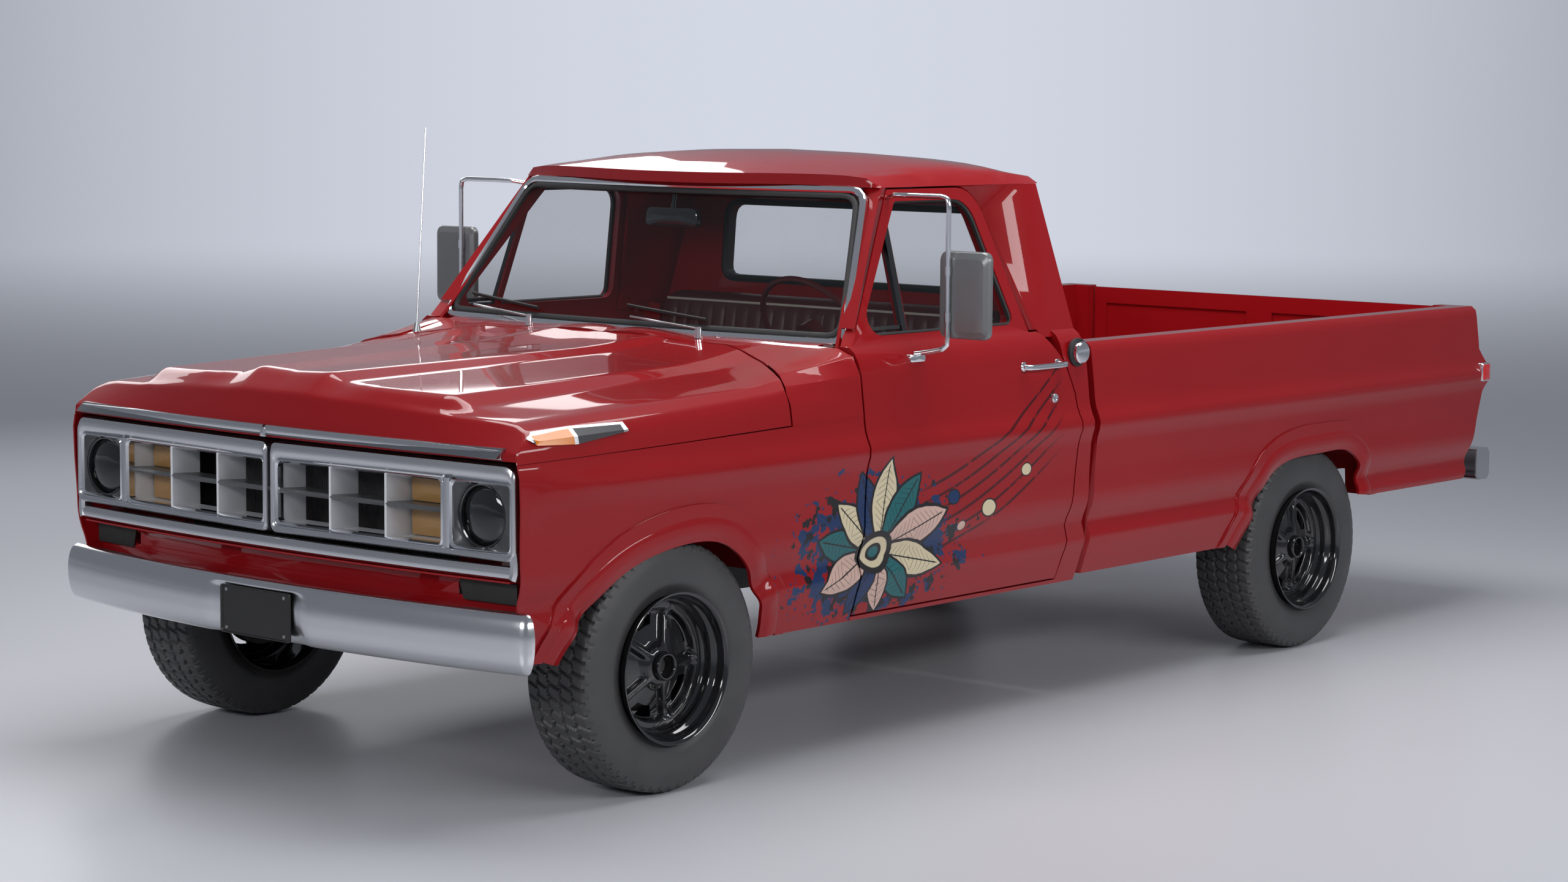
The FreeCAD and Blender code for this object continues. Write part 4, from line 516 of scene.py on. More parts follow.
def turned(name, profile, centre, axis, finish, body="chassis", count=64):
    """A profile (along the axis, radius) revolved about that axis; its ends lie on the axis or meet."""
    axis, profile = np.asarray(axis, float), np.asarray(profile, float)
    first = unit(np.cross(axis, (0.0, 0.0, 1.0)))
    second = np.cross(axis, first)
    turn = np.linspace(0.0, 2.0 * np.pi, count, endpoint=False)[:, None, None]
    ring = np.cos(turn) * first + np.sin(turn) * second
    grid = np.asarray(centre, float) + profile[None, :, :1] * axis + profile[None, :, 1:] * ring
    return surface(name, grid, finish, body, (True, False))


def dished(name, outer, inner, profile, out, finish, body="chassis"):
    """A rim between two loops of equal count: each (share, height) of the profile is one loop between them,
    moved along out by its height. The first and last loops join, or meet in the inner loop's centre."""
    outer, inner, profile = (np.asarray(points, float) for points in (outer, inner, profile))
    grid = outer[:, None] + (inner - outer)[:, None] * profile[None, :, :1]
    grid = grid + profile[None, :, 1:] * np.asarray(out, float)
    return surface(name, grid, finish, body, (True, not np.allclose(inner, inner[0])))


def shrunk(loop, share):
    """The loop drawn in towards its centre."""
    loop = np.asarray(loop, float)
    return loop + (loop.mean(0) - loop) * share


def pillow(name, loop, thickness, dome, out, finish, body="chassis"):
    """A plate with an eased edge and a domed face, standing on its loop."""
    profile = [(1.0, 0.0), (0.0, 0.0), (0.0, thickness * 0.7), (0.03, thickness * 0.93), (0.08, thickness),
               (0.3, thickness + dome * 0.5), (0.65, thickness + dome * 0.9), (1.0, thickness + dome)]
    return dished(name, loop, shrunk(loop, 1.0), profile, out, finish, body)


both_sides = ((1, "left"), (-1, "right"))
forward, backward = (1.0, 0.0, 0.0), (-1.0, 0.0, 0.0)
shells = {}
for finish, nodes in (
        (decorated, "fender_left"), (paint, "fender_right"), (decorated, "door_left"),
        (paint, "door_right cab_roof cab_sides cab_back"), (louvred, "cowl"),
        (paint, "bed_side_left bed_side_right bed_front bed_floor tailgate valance"),
        (underside, "cab_floor"), (rear_bumper_metal, "rear_bumper"), (marker_finish, "hood_trim"),
        (red_lens, "tail_lamps"), (glass, "cab_glass door_left_glass door_right_glass"),
        (satin, "cowl_fittings"), (dash_red, "dashboard"), (chassis_black, "seat_frame"),
        (dash_red, "steering_wheel"), (chassis_black, "frame_rails"), (cast, "engine_block"),
        (core_black, "radiator"), (chassis_black, "front_axle_beams rear_axle"),
        (dull_steel, "driveshaft exhaust fuel_tank"), (cast, "knuckle_left knuckle_right")):
    for node in nodes.split():
        shells[node] = panel(node, finish)

# Sides

side_heights = mm([(384, 929), (440, 950), (500, 969), (535, 979), (552, 975), (572, 965), (640, 983),
                   (730, 991), (820, 995), (856, 998), (884, 1006), (908, 1012), (926, 1009), (950, 997),
                   (976, 989), (1040, 981), (1110, 972), (1150, 965), (1180, 953), (1200, 940),
                   (1216, 918)])


def step(value, low, high):
    """Smooth step of an array, 0 at low and 1 at high."""
    share = np.clip((value - low) / (high - low), 0.0, 1.0)
    return share * share * (3.0 - 2.0 * share)


def narrowing(x):
    """How much the nose draws in at the stations x, and the slope of that."""
    begin, reach = front_axle - 0.150, 0.762
    run = np.maximum(x - begin, 0.0)
    return 0.032 * (run / reach) ** 2, 0.064 * run / reach ** 2


def read(items, key, width=3, kind=float):
    """One property of all the items, one row for each."""
    values = np.zeros(len(items) * width, kind)
    items.foreach_get(key, values)
    return values.reshape(-1, width)


def side_shading(piece, top):
    """Gives the side's outer faces below the height top the normals of the drawn side: its curve's slope
    upwards, and the nose's narrowing ahead. Other faces keep theirs."""
    mesh = piece.data
    place = read(mesh.vertices, "co")[read(mesh.loops, "vertex_index", 1, int)[:, 0]]
    sizes = read(mesh.polygons, "loop_total", 1, int)[:, 0]
    faces = np.repeat(read(mesh.polygons, "normal"), sizes, axis=0)
    curve = spline(side_heights, 240)
    rise = np.interp(place[:, 2], curve[:, 0], np.gradient(curve[:, 1], curve[:, 0]))
    grown = np.clip((front_axle + 0.570 - place[:, 0]) / 0.260, 0.0, 1.0)
    band = 1.0 - step(np.abs(place[:, 2] - 0.908), 0.030, 0.055)
    rise = rise * (1.0 - band * (1.0 - grown))
    normal = unit(np.stack([narrowing(place[:, 0])[1], np.sign(place[:, 1]), -rise], -1))
    fits = ((normal * faces).sum(1) > 0.93) & (place[:, 2] < top) & (np.abs(place[:, 1]) > 0.88)
    mesh.normals_split_custom_set(np.where(fits[:, None], normal, read(mesh.corner_normals, "vector")))


for nodes, top in (("fender_left fender_right", 1.03), ("door_left door_right", 1.20), ("cab_sides", 1.16),
                   ("bed_side_left bed_side_right", 1.10)):
    for node in nodes.split():
        side_shading(shells[node], top)

# Hood

nose_bow, nose_half = 0.052, 0.955
crease_bow = 0.118
hood_half = 0.985
hood_cuts = front_axle + np.array([0.518, -0.487, -0.822])
hood_half_lines = mm([
    [(985, 985), (976, 1030), (950, 1066), (905, 1082), (850, 1089), (700, 1096), (645, 1100),
     (420, 1110), (235, 1117), (150, 1120), (0, 1120)],
    [(985, 985), (976, 1030), (950, 1066), (905, 1082), (850, 1089), (700, 1112), (635, 1142),
     (420, 1150), (235, 1156), (155, 1178), (0, 1173)],
    [(985, 1012), (976, 1070), (960, 1108), (922, 1132), (860, 1143), (700, 1156), (610, 1174),
     (440, 1180), (290, 1186), (210, 1200), (0, 1197)],
    [(985, 1012), (975, 1100), (955, 1176), (925, 1204), (866, 1214), (700, 1217), (600, 1221),
     (464, 1222), (300, 1226), (240, 1231), (0, 1232)]])
hood_steps = (6, 4, 6, 6, 14, 10, 18, 16, 12, 14)


def hood_lines():
    """The four outlines from side to side, with as many points on each piece between two drawn corners and
    the corners eased."""
    whole = np.concatenate([hood_half_lines, hood_half_lines[:, -2::-1] * (-1.0, 1.0)], 1)
    steps = hood_steps + hood_steps[::-1]
    spots = np.concatenate([k + np.arange(count) / count for k, count in enumerate(steps)] + [[20.0]])
    base = np.minimum(spots.astype(int), 19)
    share = (spots - base)[None, :, None]
    fine = whole[:, base] * (1.0 - share) + whole[:, base + 1] * share
    return np.moveaxis(softened(np.moveaxis(fine, 1, 0), 2), 1, 0)


hood_fine = hood_lines()


def hood_outline(x):
    """Points (y, z) of the outlines at the stations x, one row of x for each row of points."""
    t = (hood_cuts[0] - x) / (hood_cuts[0] - hood_cuts[1])
    rear = (hood_cuts[1] - x) / (hood_cuts[1] - hood_cuts[2])
    rear = np.where(np.abs(rear) < 0.3, (rear + 0.3) ** 2 / 1.2, np.maximum(rear, 0.0))
    nose, front, middle, back = hood_fine[:, None]
    flat = front + (middle - front) * np.minimum(t, 1.0)[..., None]
    place = flat + (back - middle) * rear[..., None]
    reach = np.abs(place[..., 0])
    bow = (nose_bow + crease_bow) * (reach / nose_half) ** 2
    start = 0.556 + 0.042 * step(reach, 0.16, 0.42)
    knee = np.clip((x - front_axle + bow - start) / (0.640 - start), 0.0, 1.0)
    place = place + (nose - front) * knee[..., None]
    place[..., 0] -= narrowing(x)[0] * place[..., 0] / hood_half
    return place


def hood_face(y, z):
    """Station of the hood's bowed front at height z: it leans back and bows more towards the crease."""
    rise = np.clip((z - 1.010) / 0.110, 0.0, None)
    return front_axle + 0.651 - 0.012 * rise - (nose_bow + crease_bow * rise) * (y / nose_half) ** 2


def hood_skin():
    """The clamshell hood as one sheet with two sides.

    Every line of the sheet keeps its share of the outlines from the rear edge to the crease, which is found
    by stepping to where the outline meets the bowed front, and then drops down that front to the lip.
    """
    rear_y = np.array([0.0, 0.260, 0.520, 0.760, 0.958, 1.2])
    rear_x = np.array([-0.704, -0.706, -0.718, -0.610, -0.487, -0.487]) + 0.004
    share = np.linspace(0.0, 1.0, 74)[:, None]
    share = share + 0.35 * share * (1.0 - share)
    ends = np.zeros((1, hood_fine.shape[1]))
    first, last = ends + hood_cuts[1], ends + hood_cuts[0]
    for _ in range(24):
        at_rear, at_front = hood_outline(first), hood_outline(last)
        first = front_axle + np.interp(np.abs(at_rear[..., 0]), rear_y, rear_x)
        last = 0.5 * last + 0.5 * hood_face(at_front[..., 0], at_front[..., 1])
    x = first + (last - first) * share
    top = np.concatenate([x[..., None], hood_outline(x)], -1)
    edge = top[-1]
    drop = np.linspace(0.0, 1.0, 15)[1:, None]
    z = edge[None, :, 2] + (np.minimum(edge[None, :, 2], 0.990) - edge[None, :, 2]) * drop
    y = np.broadcast_to(edge[None, :, 1], z.shape)
    front = np.stack([np.minimum(hood_face(y, z), edge[None, :, 0] + 0.16), y, z], -1)
    sheet = softened(np.concatenate([top, front]), 1)
    normal = np.cross(np.gradient(sheet, axis=1), np.gradient(sheet, axis=0))
    normal /= np.maximum(np.linalg.norm(normal, axis=-1, keepdims=True), 1e-9)
    normal *= np.sign((normal * (sheet - (front_axle, 0.0, 0.6))).sum(-1, keepdims=True))
    inner = sheet - 0.0035 * normal
    loop = np.concatenate([sheet, inner[:, ::-1]], 1)
    middle = (loop + loop[:, ::-1]) / 2
    grid = np.concatenate([middle[:1], loop, middle[-1:]])
    piece = surface("hood_skin", grid, paint, "hood_body", (False, True))
    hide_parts("hood")


hood_skin()

# Rounded lips of the wheel openings


def arch_lips():
    """A rounded rolled lip round each wheel opening, standing on the side's curve."""
    fine = spline(side_heights, 90)
    lip = mm([(-3, -22), (-3, 2), (-1, 6.5), (4, 8.8), (14, 9.8), (26, 9.6), (36, 8.8), (44, 7.4),
              (51, 4.5), (58, 1.8), (68, -1), (68, -12)])
    front = mm([(-472, 360), (-458, 450), (-400, 588), (-252, 742), (37, 772), (336, 655), (446, 520),
                (492, 400), (500, 360)])
    rear = mm([(500, 360), (470, 430), (415, 540), (330, 680), (150, 758), (-60, 768), (-300, 748),
               (-404, 660), (-424, 500), (-424, 360)])
    for part, axle, points, feet in (("front", front_axle, front, (0.396, 0.436)),
                                     ("rear", rear_axle, rear[::-1], (0.518, 0.416))):
        curve = spline(points, 200)
        foot = np.where(curve[:, 0] < 0.0, *feet)
        curve = resampled(curve[curve[:, 1] > foot], 120)
        x = axle + curve[:, 0]
        narrow = narrowing(x)[0]
        for side, hand in both_sides:
            y = side * (np.interp(curve[:, 1], fine[:, 0], fine[:, 1]) - narrow)
            path = np.stack([x, y, curve[:, 1]], -1)
            finish = decorated if (part, hand) == ("front", "left") else paint
            carried("arch_lip_%s_%s" % (part, hand), path, lip * (-side, 1.0), (0.0, side, 0.0), finish)


arch_lips()

# Wheels

sectors = 5
sector_half, sector_turn = math.radians(180.0 / sectors), math.radians(18.0)
hub_radius, disc_radius = 0.030, 0.1785
rim_section = mm([(138, 220.5), (140, 217), (137.5, 212), (132, 206), (124, 203), (108, 202.2),
                  (101, 200), (97, 195.5), (94, 191.5), (88, 188.5), (74, 187.8), (67, 186), (63, 181.5),
                  (60, 178.5), (56, 177.5), (20, 176.8), (4, 178), (-6, 188), (-14, 201.5), (-120, 202.2),
                  (-131, 206), (-137.5, 212), (-140, 217), (-138, 220.5), (-133.5, 216.5), (-128, 206.3),
                  (-18, 206), (-10, 192.5), (0, 183), (56, 182.5), (62, 190), (70, 192.5), (90, 193),
                  (96, 200), (102, 205), (128, 206.3), (133.5, 216.5)])


def wheel(corner, side):
    """A gloss black wheel: stepped rim, five windowed sectors between narrow spokes, and an open hub ring.

    Each sector is a ring of lines from its border (hub arc, spoke, rim arc, spoke) to its window. It stands
    as high as a shallow dish less a pocket, which deepens with the distance from the spokes' middles.
    """
    centre = middle_of("tyre_" + corner)
    axis = (0.0, side, 0.0)
    body = body_of_node["rim_" + corner]
    section = softened(resampled(rim_section, 132, True), 2, True)
    section = np.vstack([section, section[:1]])
    barrel = turned("wheel_rim_" + corner, section, centre, axis, gloss_black, body, 96)
    count = 16
    turn = np.linspace(-1.0, 1.0, count, endpoint=False)
    line = np.linspace(0.0, 1.0, count, endpoint=False)

    def border(r0, r1, a0, a1):
        radius = np.concatenate([r0 + 0 * turn, r0 + (r1 - r0) * line, r1 + 0 * turn,
                                 r1 + (r0 - r1) * line])
        angle = np.concatenate([a0 * turn, a0 + (a1 - a0) * line, -a1 * turn, -a1 - (a0 - a1) * line])
        return np.stack([radius * np.sin(angle), radius * np.cos(angle)], -1)

    outer = border(hub_radius, disc_radius, sector_half, sector_half)
    window = softened(border(0.117, 0.151, math.radians(13.0), math.radians(18.5)), 4, True)
    share = np.concatenate([np.linspace(0.0, 1.0, 20), [1.0], np.linspace(1.0, 0.0, 5)])[:, None, None]
    flat = outer + (window - outer) * share
    radius = np.linalg.norm(flat, axis=-1)
    angle = np.abs(np.arctan2(flat[..., 0], flat[..., 1]))
    from_spoke = radius * np.sin(np.clip(sector_half - angle, 0.0, None))
    dish = mm([(30, 80), (45, 76), (100, 60), (145, 48), (158, 50), (165, 56), (178.5, 56)])
    pocket = step(from_spoke, 0.005, 0.020) * step(radius, 0.050, 0.072)
    pocket = pocket * (1.0 - step(radius, 0.152, 0.163))
    height = np.interp(radius, dish[:, 0], dish[:, 1]) - 0.017 * pocket
    height[20:] -= 0.006
    parts = []
    for k in range(sectors):
        lean = 2.0 * sector_half * k + sector_turn
        across = flat[..., 0] * math.cos(lean) + flat[..., 1] * math.sin(lean)
        up = flat[..., 1] * math.cos(lean) - flat[..., 0] * math.sin(lean)
        parts.append(np.stack([centre[0] + across, centre[1] + side * height, centre[2] + up], -1))
    surface("wheel_centre_" + corner, parts, gloss_black, body, closed=(True, True))
    hub = softened(mm([(60, 43), (72, 43.5), (86, 42.5), (94, 40), (98, 36.5), (98, 33.5), (94, 30),
                       (86, 28.5), (68, 28), (62, 27), (60, 20), (60, 0)]), 1)
    hub = np.vstack([mm([(50, 0), (50, 43)]), hub])
    turned("wheel_hub_" + corner, hub, centre, axis, gloss_black, body)
    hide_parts("rim_" + corner)


for corner, side in (("front_left", 1), ("front_right", -1), ("rear_left", 1), ("rear_right", -1)):
    wheel(corner, side)

# Tyres


def zigzag(turns, swing):
    """A triangle wave of turns (in cycles), between -swing and +swing."""
    return swing * (4.0 * np.abs(turns - np.floor(turns + 0.5)) - 1.0)


tread_pitches = 58
tread_depth = 0.0085


def tyre(name, node, body):
    """A tyre as radius over angle and width.

    The section runs from bead to bead: bulged sidewalls with raised rings, round shoulders and a crown that
    drops a little to its edges. The tread is cut by four grooves that follow a zigzag round the tyre and by
    slanted cross cuts between blocks; both are smooth steps, so every groove has sloping walls.
    """
    centre = middle_of(node)
    bead = tyre_radius - 0.1543
    walls = np.array([(-0.84, bead), (-0.9, bead + 0.012), (-0.955, bead + 0.03), (-0.975, bead + 0.034),
                      (-0.985, bead + 0.044), (-1.0, bead + 0.06), (-1.0, bead + 0.078),
                      (-0.985, bead + 0.098), (-0.955, bead + 0.116), (-0.945, bead + 0.119),
                      (-0.925, bead + 0.131), (-0.88, bead + 0.142), (-0.82, bead + 0.149)])
    walls[:, 0] *= tyre_half
    share = np.linspace(-0.77, 0.77, 43)
    tread = np.stack([share * tyre_half, tyre_radius - 0.004 * np.abs(share / 0.77) ** 3], -1)
    section = np.vstack([walls, tread, walls[::-1] * (-1.0, 1.0)])
    turns = np.linspace(0.0, 1.0, tread_pitches * 10, endpoint=False)[:, None]
    across = section[None, :, 0] / tyre_half
    pitch = turns * tread_pitches
    groove = np.zeros((len(turns), len(section)))
    for line in (-0.52, -0.18, 0.18, 0.52):
        reach = np.abs(across - line - zigzag(pitch + line, 0.035))
        groove = np.maximum(groove, 1.0 - step(reach, 0.018, 0.036))
    row = np.round(across / 0.34)
    cross = np.abs((pitch + row * 0.5 + across * 1.3) % 1.0 - 0.5)
    cut = (1.0 - step(cross, 0.06, 0.13)) * (1.0 - step(np.abs(across), 0.9, 0.93))
    cut = 0.8 * cut * step(section[None, :, 1], bead + 0.128, bead + 0.136)
    groove = np.maximum(groove * (np.abs(across) < 0.78), cut)
    radius = section[None, :, 1] - tread_depth * groove
    angle = 2.0 * np.pi * turns
    grid = np.stack([centre[0] + radius * np.cos(angle), centre[1] + section[None, :, 0] + 0.0 * angle,
                     centre[2] + radius * np.sin(angle)], -1)
    piece = surface(name, grid, tyre_rubber, body, closed=(True, True))
    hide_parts(node)
    return piece


for corner in ("front_left", "front_right", "rear_left", "rear_right"):
    tyre("tyre_tread_" + corner, "tyre_" + corner, body_of_node["tyre_" + corner])

# Nose

nose_face = front_axle + 0.650
grille_top, grille_foot = 0.979, 0.717
cell_top, cell_foot = 0.926, 0.743
cell_inner, cell_outer = 0.024, 0.683
cell_pitch = (cell_outer - cell_inner) / 3
lamp_y, lamp_z, lamp_radius = 0.814, 0.834, 0.089
fin_depth = 0.112


def on_nose(y_z, depth=0.0, bow=nose_bow):
    """Points (y, z) of the nose set on its bowed face, depth behind it."""
    y_z = np.asarray(y_z, float)
    return np.stack([nose_face - depth - bow * (y_z[:, 0] / nose_half) ** 2, y_z[:, 0], y_z[:, 1]], -1)


def on_nose_box(side, y0, y1, z0, z1, radius, depth=0.0):
    """A rectangle with eased corners on one side of the nose."""
    return on_nose(rounded(corners(side * y0, z0, side * y1, z1), radius), depth)


def grille_frame(side, hand):
    """A bright surround, a bead inside each of its two openings and the post between them."""
    outer = on_nose_box(side, 0.009, 0.944, grille_foot, grille_top, (0.022, 0.03, 0.042, 0.022))
    inner = on_nose_box(side, 0.024, 0.926, cell_foot - 0.002, cell_top + 0.002, 0.02)
    rim = [(0.0, -0.036), (0.0, -0.010), (0.08, -0.002), (0.3, 0.003), (0.6, 0.002), (0.85, -0.003),
           (1.0, -0.012), (1.0, -0.036)]
    surround = dished("grille_surround_" + hand, outer, inner, rim, forward, aluminium)
    for part, y0, y1 in (("cells", cell_inner, cell_outer), ("lamp", cell_outer + 0.028, 0.927)):
        outer = on_nose_box(side, y0 - 0.002, y1 + 0.002, cell_foot - 0.003, cell_top + 0.003, 0.018)
        inner = on_nose_box(side, y0 + 0.007, y1 - 0.007, cell_foot + 0.006, cell_top - 0.006, 0.014)
        bead = [(0.0, -0.03), (0.0, -0.006), (0.4, -0.002), (1.0, -0.010), (1.0, -0.03)]
        dished("grille_bead_%s_%s" % (part, hand), outer, inner, bead, forward, chrome)
    post_y = side * (cell_outer + 0.014)
    bar = mm([(-13, -30), (-13, -6), (-6, -3), (6, -3), (13, -6), (13, -30)])
    post = on_nose(resampled([(post_y, cell_foot - 0.004), (post_y, cell_top + 0.004)], 3))
    carried("grille_post_" + hand, post, bar, forward, aluminium)
    return surround


def grille_cells(side, hand):
    """Deep pale fins between a shelf above and one below them."""
    fin = [(-0.009, -fin_depth), (-0.004, -0.014), (0.0, -0.010), (0.004, -0.014), (0.009, -fin_depth)]
    for k in range(4):
        y = side * (cell_inner + k * cell_pitch)
        line = on_nose([(y, cell_foot - 0.004), (y, lamp_z), (y, cell_top + 0.004)])
        carried("grille_fin_%s_%d" % (hand, k), line, fin, forward, fin_paint, smooth=False)
    shelf = [(-0.004, -fin_depth), (-0.003, -0.016), (0.003, -0.016), (0.004, -fin_depth)]
    for part, z in (("top", cell_top + 0.002), ("foot", cell_foot - 0.002)):
        ledge = on_nose(resampled([(side * cell_inner, z), (side * cell_outer, z)], 12))
        carried("grille_shelf_%s_%s" % (part, hand), ledge, shelf, forward, fin_paint, smooth=False)


def grille_lamps(side, hand):
    """Headlamp in a dark panel with a round hole, and two brown lamps behind the outer cell."""
    panel_loop = on_nose_box(side, cell_outer + 0.032, 0.922, cell_foot + 0.002, cell_top - 0.002, 0.012)
    panel_loop = resampled(panel_loop, 128, True)
    centre = (nose_face - nose_bow * (lamp_y / nose_half) ** 2, side * lamp_y, lamp_z)
    angle = np.arctan2(panel_loop[:, 2] - centre[2], panel_loop[:, 1] - centre[1])
    hole = np.stack([0.0 * angle, lamp_radius * np.cos(angle), lamp_radius * np.sin(angle)], -1) + centre
    form = [(0.0, -0.05), (0.0, -0.012), (0.06, -0.010), (0.7, -0.012), (0.93, -0.017), (1.0, -0.024),
            (1.0, -0.05)]
    dished("lamp_panel_" + hand, panel_loop, hole, form, forward, lamp_grey)
    bowl = mm([(-60, 0), (-60, 60), (-50, 92), (-20, 92), (-20, 86), (-34, 82), (-30, 79), (-23, 60),
               (-19, 30), (-18, 0)])
    lamp = turned("headlamp_" + hand, bowl, centre, forward, lens_glass, count=72)
    ring = mm([(-30, 89), (-22, 90), (-18, 87), (-20, 83), (-30, 82), (-30, 89)])
    turned("headlamp_ring_" + hand, ring, centre, forward, gloss_black, count=72)
    for part, z0, z1 in (("upper", lamp_z + 0.008, cell_top - 0.006),
                         ("lower", cell_foot + 0.004, lamp_z - 0.004)):
        y0, y1 = cell_outer - cell_pitch + 0.016, cell_outer - 0.014
        glow = on_nose_box(side, y0, y1, z0, z1, 0.01, fin_depth - 0.006)
        pillow("turn_lamp_%s_%s" % (part, hand), glow, 0.012, 0.004, forward, brown_lamp)
    return lamp


def grille_bars():
    """The grey blade across all cells and the bright bar below the surrounds, turned up at its ends."""
    span = resampled([(-cell_outer - 0.002, lamp_z + 0.004), (cell_outer + 0.002, lamp_z + 0.004)], 40)
    blade = [(-0.002, -fin_depth), (-0.007, -0.018), (0.0, -0.011), (0.007, -0.018), (0.002, -fin_depth)]
    carried("grille_blade", on_nose(span), blade, forward, blade_grey, smooth=False)
    lip = mm([(-19, -32), (-19, -12), (-13, -6), (0, -3), (10, -6), (14, -14), (18, -18), (20, -32)])
    low = on_nose(resampled([(-0.943, 0.684), (0.943, 0.684)], 48))
    carried("grille_lower_bar", low, lip, forward, aluminium)
    end = mm([(-16, -34), (-16, -6), (-6, 0), (8, -2), (12, -34)])
    for side, hand in both_sides:
        drop = on_nose(np.multiply(mm([(930, 742), (934, 712), (934, 690), (928, 672)]), (side, 1.0)))
        carried("grille_end_" + hand, resampled(drop, 9), end, forward, aluminium)


def grille():
    """Two bright surrounds with pale fins crossed by a grey blade, the lamps and the bar below them."""
    for side, hand in both_sides:
        grille_frame(side, hand)
        grille_cells(side, hand)
        lamp = grille_lamps(side, hand)
    grille_bars()
    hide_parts("grille")
    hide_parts("headlamps")


grille()


def hood_strip():
    """Half-round bright strip along the hood's front lip, in two lengths with a clip at the middle."""
    half = mm([(-14, -12), (-14.5, 0), (-12.5, 5), (-8, 8.8), (-3, 10.4)])
    half_round = np.concatenate([half, half[::-1] * (-1.0, 1.0)])
    for side, hand in both_sides:
        line = resampled([(side * 0.006, 1.012), (side * 0.6, 1.011), (side * 0.905, 1.006)], 40)
        path = on_nose(line, -0.008, nose_bow + 0.008)
        carried("hood_strip_" + hand, path, half_round, forward, satin, "hood_body")
    clip = on_nose(rounded(mm([(-12, 992), (12, 992), (10, 1020), (-10, 1020)]), 0.004), -0.012)
    pillow("hood_strip_clip", clip, 0.008, 0.002, forward, aluminium, "hood_body")


hood_strip()

# Front bumper

bumper_face = front_axle + 0.712
bumper_half = 1.010
bumper_sag = 0.104
bumper_corner = 0.036
bumper_foot, bumper_top = 0.412, 0.585
stay_y, stay_z = 0.4383, 0.485


def bumper_section():
    """The bumper's closed section as (depth, height): a rolled top, a flat face and a rounded foot."""
    top, foot = bumper_top, bumper_foot
    outer = [(0.044, top - 0.002), (0.033, top), (0.020, top - 0.006), (0.010, top - 0.019),
             (0.004, top - 0.038), (0.0005, top - 0.060), (0.0, foot + 0.095), (0.002, foot + 0.060),
             (0.007, foot + 0.034), (0.016, foot + 0.012), (0.028, foot)]
    inner = [(x + 0.007, min(max(z, foot + 0.007), top - 0.009)) for x, z in reversed(outer)]
    return softened(resampled(outer + inner, 96, True), 3, True)


def front_bumper():
    """Bowed bumper with a rolled top, turned ends and a shallow pressing round the plate, on dark stays.

    Its section is set square to a parabola in plan that ends in a quarter turn; in the middle the face is
    drawn back by a depth that fades with a smooth step to both sides and upwards.
    """
    section = bumper_section()
    y = np.concatenate([np.linspace(0.0, 0.15, 5)[:-1], np.linspace(0.15, 0.26, 16)[:-1],
                        np.linspace(0.26, bumper_half - bumper_corner, 26)])
    x = bumper_face - bumper_sag * (y / bumper_half) ** 2
    lean = np.arctan(2 * bumper_sag * y / bumper_half ** 2)
    bend = np.linspace(lean[-1], math.radians(89.0), 9)[1:]
    x = np.append(x, x[-1] + bumper_corner * (np.cos(bend) - math.cos(lean[-1])))
    y = np.append(y, y[-1] + bumper_corner * (np.sin(bend) - math.sin(lean[-1])))
    lean = np.append(lean, bend)
    x, y, lean = np.append(x[:0:-1], x), np.append(-y[:0:-1], y), np.append(-lean[:0:-1], lean)
    pressed = np.outer(1.0 - step(np.abs(y), 0.160, 0.232), 1.0 - step(section[:, 1], 0.548, 0.574))
    depth = section[None, :, 0] + 0.014 * pressed
    grid = np.stack([x[:, None] - depth * np.cos(lean)[:, None], y[:, None] - depth * np.sin(lean)[:, None],
                     np.broadcast_to(section[:, 1], depth.shape)], -1)
    beam = surface("front_bumper_beam", capped(grid), satin, closed=(False, True))
    for side, hand in both_sides:
        stay = [(x, side * stay_y, stay_z) for x in np.linspace(front_axle + 0.440, bumper_face - 0.038, 3)]
        carried("bumper_stay_" + hand, stay, corners(-0.006, -0.035, 0.006, 0.035), (0.0, 0.0, 1.0),
                chassis_black, smooth=False)
    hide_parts("front_bumper")


front_bumper()


def gravel_shield():
    """Red shield from the valance down behind the bumper, and black covers over the valance's two ends:
    painted shade, dark plates that stand for open pockets in shadow.
    """
    y = np.linspace(-0.900, 0.900, 41)
    drop = softened(resampled(mm([(58, 606), (62, 580), (74, 552), (96, 530)]), 12), 2)
    face = np.stack([on_nose(np.column_stack([y, 0.0 * y + z]), depth) for depth, z in drop])
    ring = np.concatenate([face, face[::-1] - (0.003, 0.0, 0.0)])
    surface("gravel_shield", capped(np.moveaxis(ring, 0, 1)), paint, closed=(False, True))
    for side, hand in both_sides:
        edge = rounded(mm([(716, 594), (906, 594), (906, 652), (700, 652)]), 0.006) * (side, 1.0)
        # Painted shade: each black cover stands for the dark, shaded pocket at that end of the valance.
        pillow("valance_shade_cover_" + hand, on_nose(edge, 0.054), 0.005, 0.0, forward, underside)


gravel_shield()


def number_plate():
    """A blank black plate in the bumper's recess, with a raised edge and four screws."""
    face = bumper_face - 0.013
    loop = across_at(face, rounded(corners(-0.152, 0.420, 0.152, 0.560), 0.012))
    profile = [(1.0, 0.0), (0.0, 0.0), (0.0, 0.004), (0.02, 0.006), (0.05, 0.006), (0.07, 0.003),
               (1.0, 0.003)]
    dished("number_plate", loop, shrunk(loop, 1.0), profile, forward, plate_black)
    head = mm([(2, 0), (2, 6), (5, 5), (7, 0)])
    for y in (-0.125, 0.125):
        for z in (0.436, 0.546):
            turned("plate_screw_%d_%d" % (y * 1000, z * 1000), head, (face, y, z), forward, dull_steel,
                   count=16)


number_plate()

# Cab glass, seals and bright trim

screen_foot, screen_top = front_axle - 0.804, front_axle - 1.044
screen_low, screen_high, screen_half, screen_top_half = 1.228, 1.670, 0.862, 0.724
screen_out = (0.88, 0.0, 0.478)


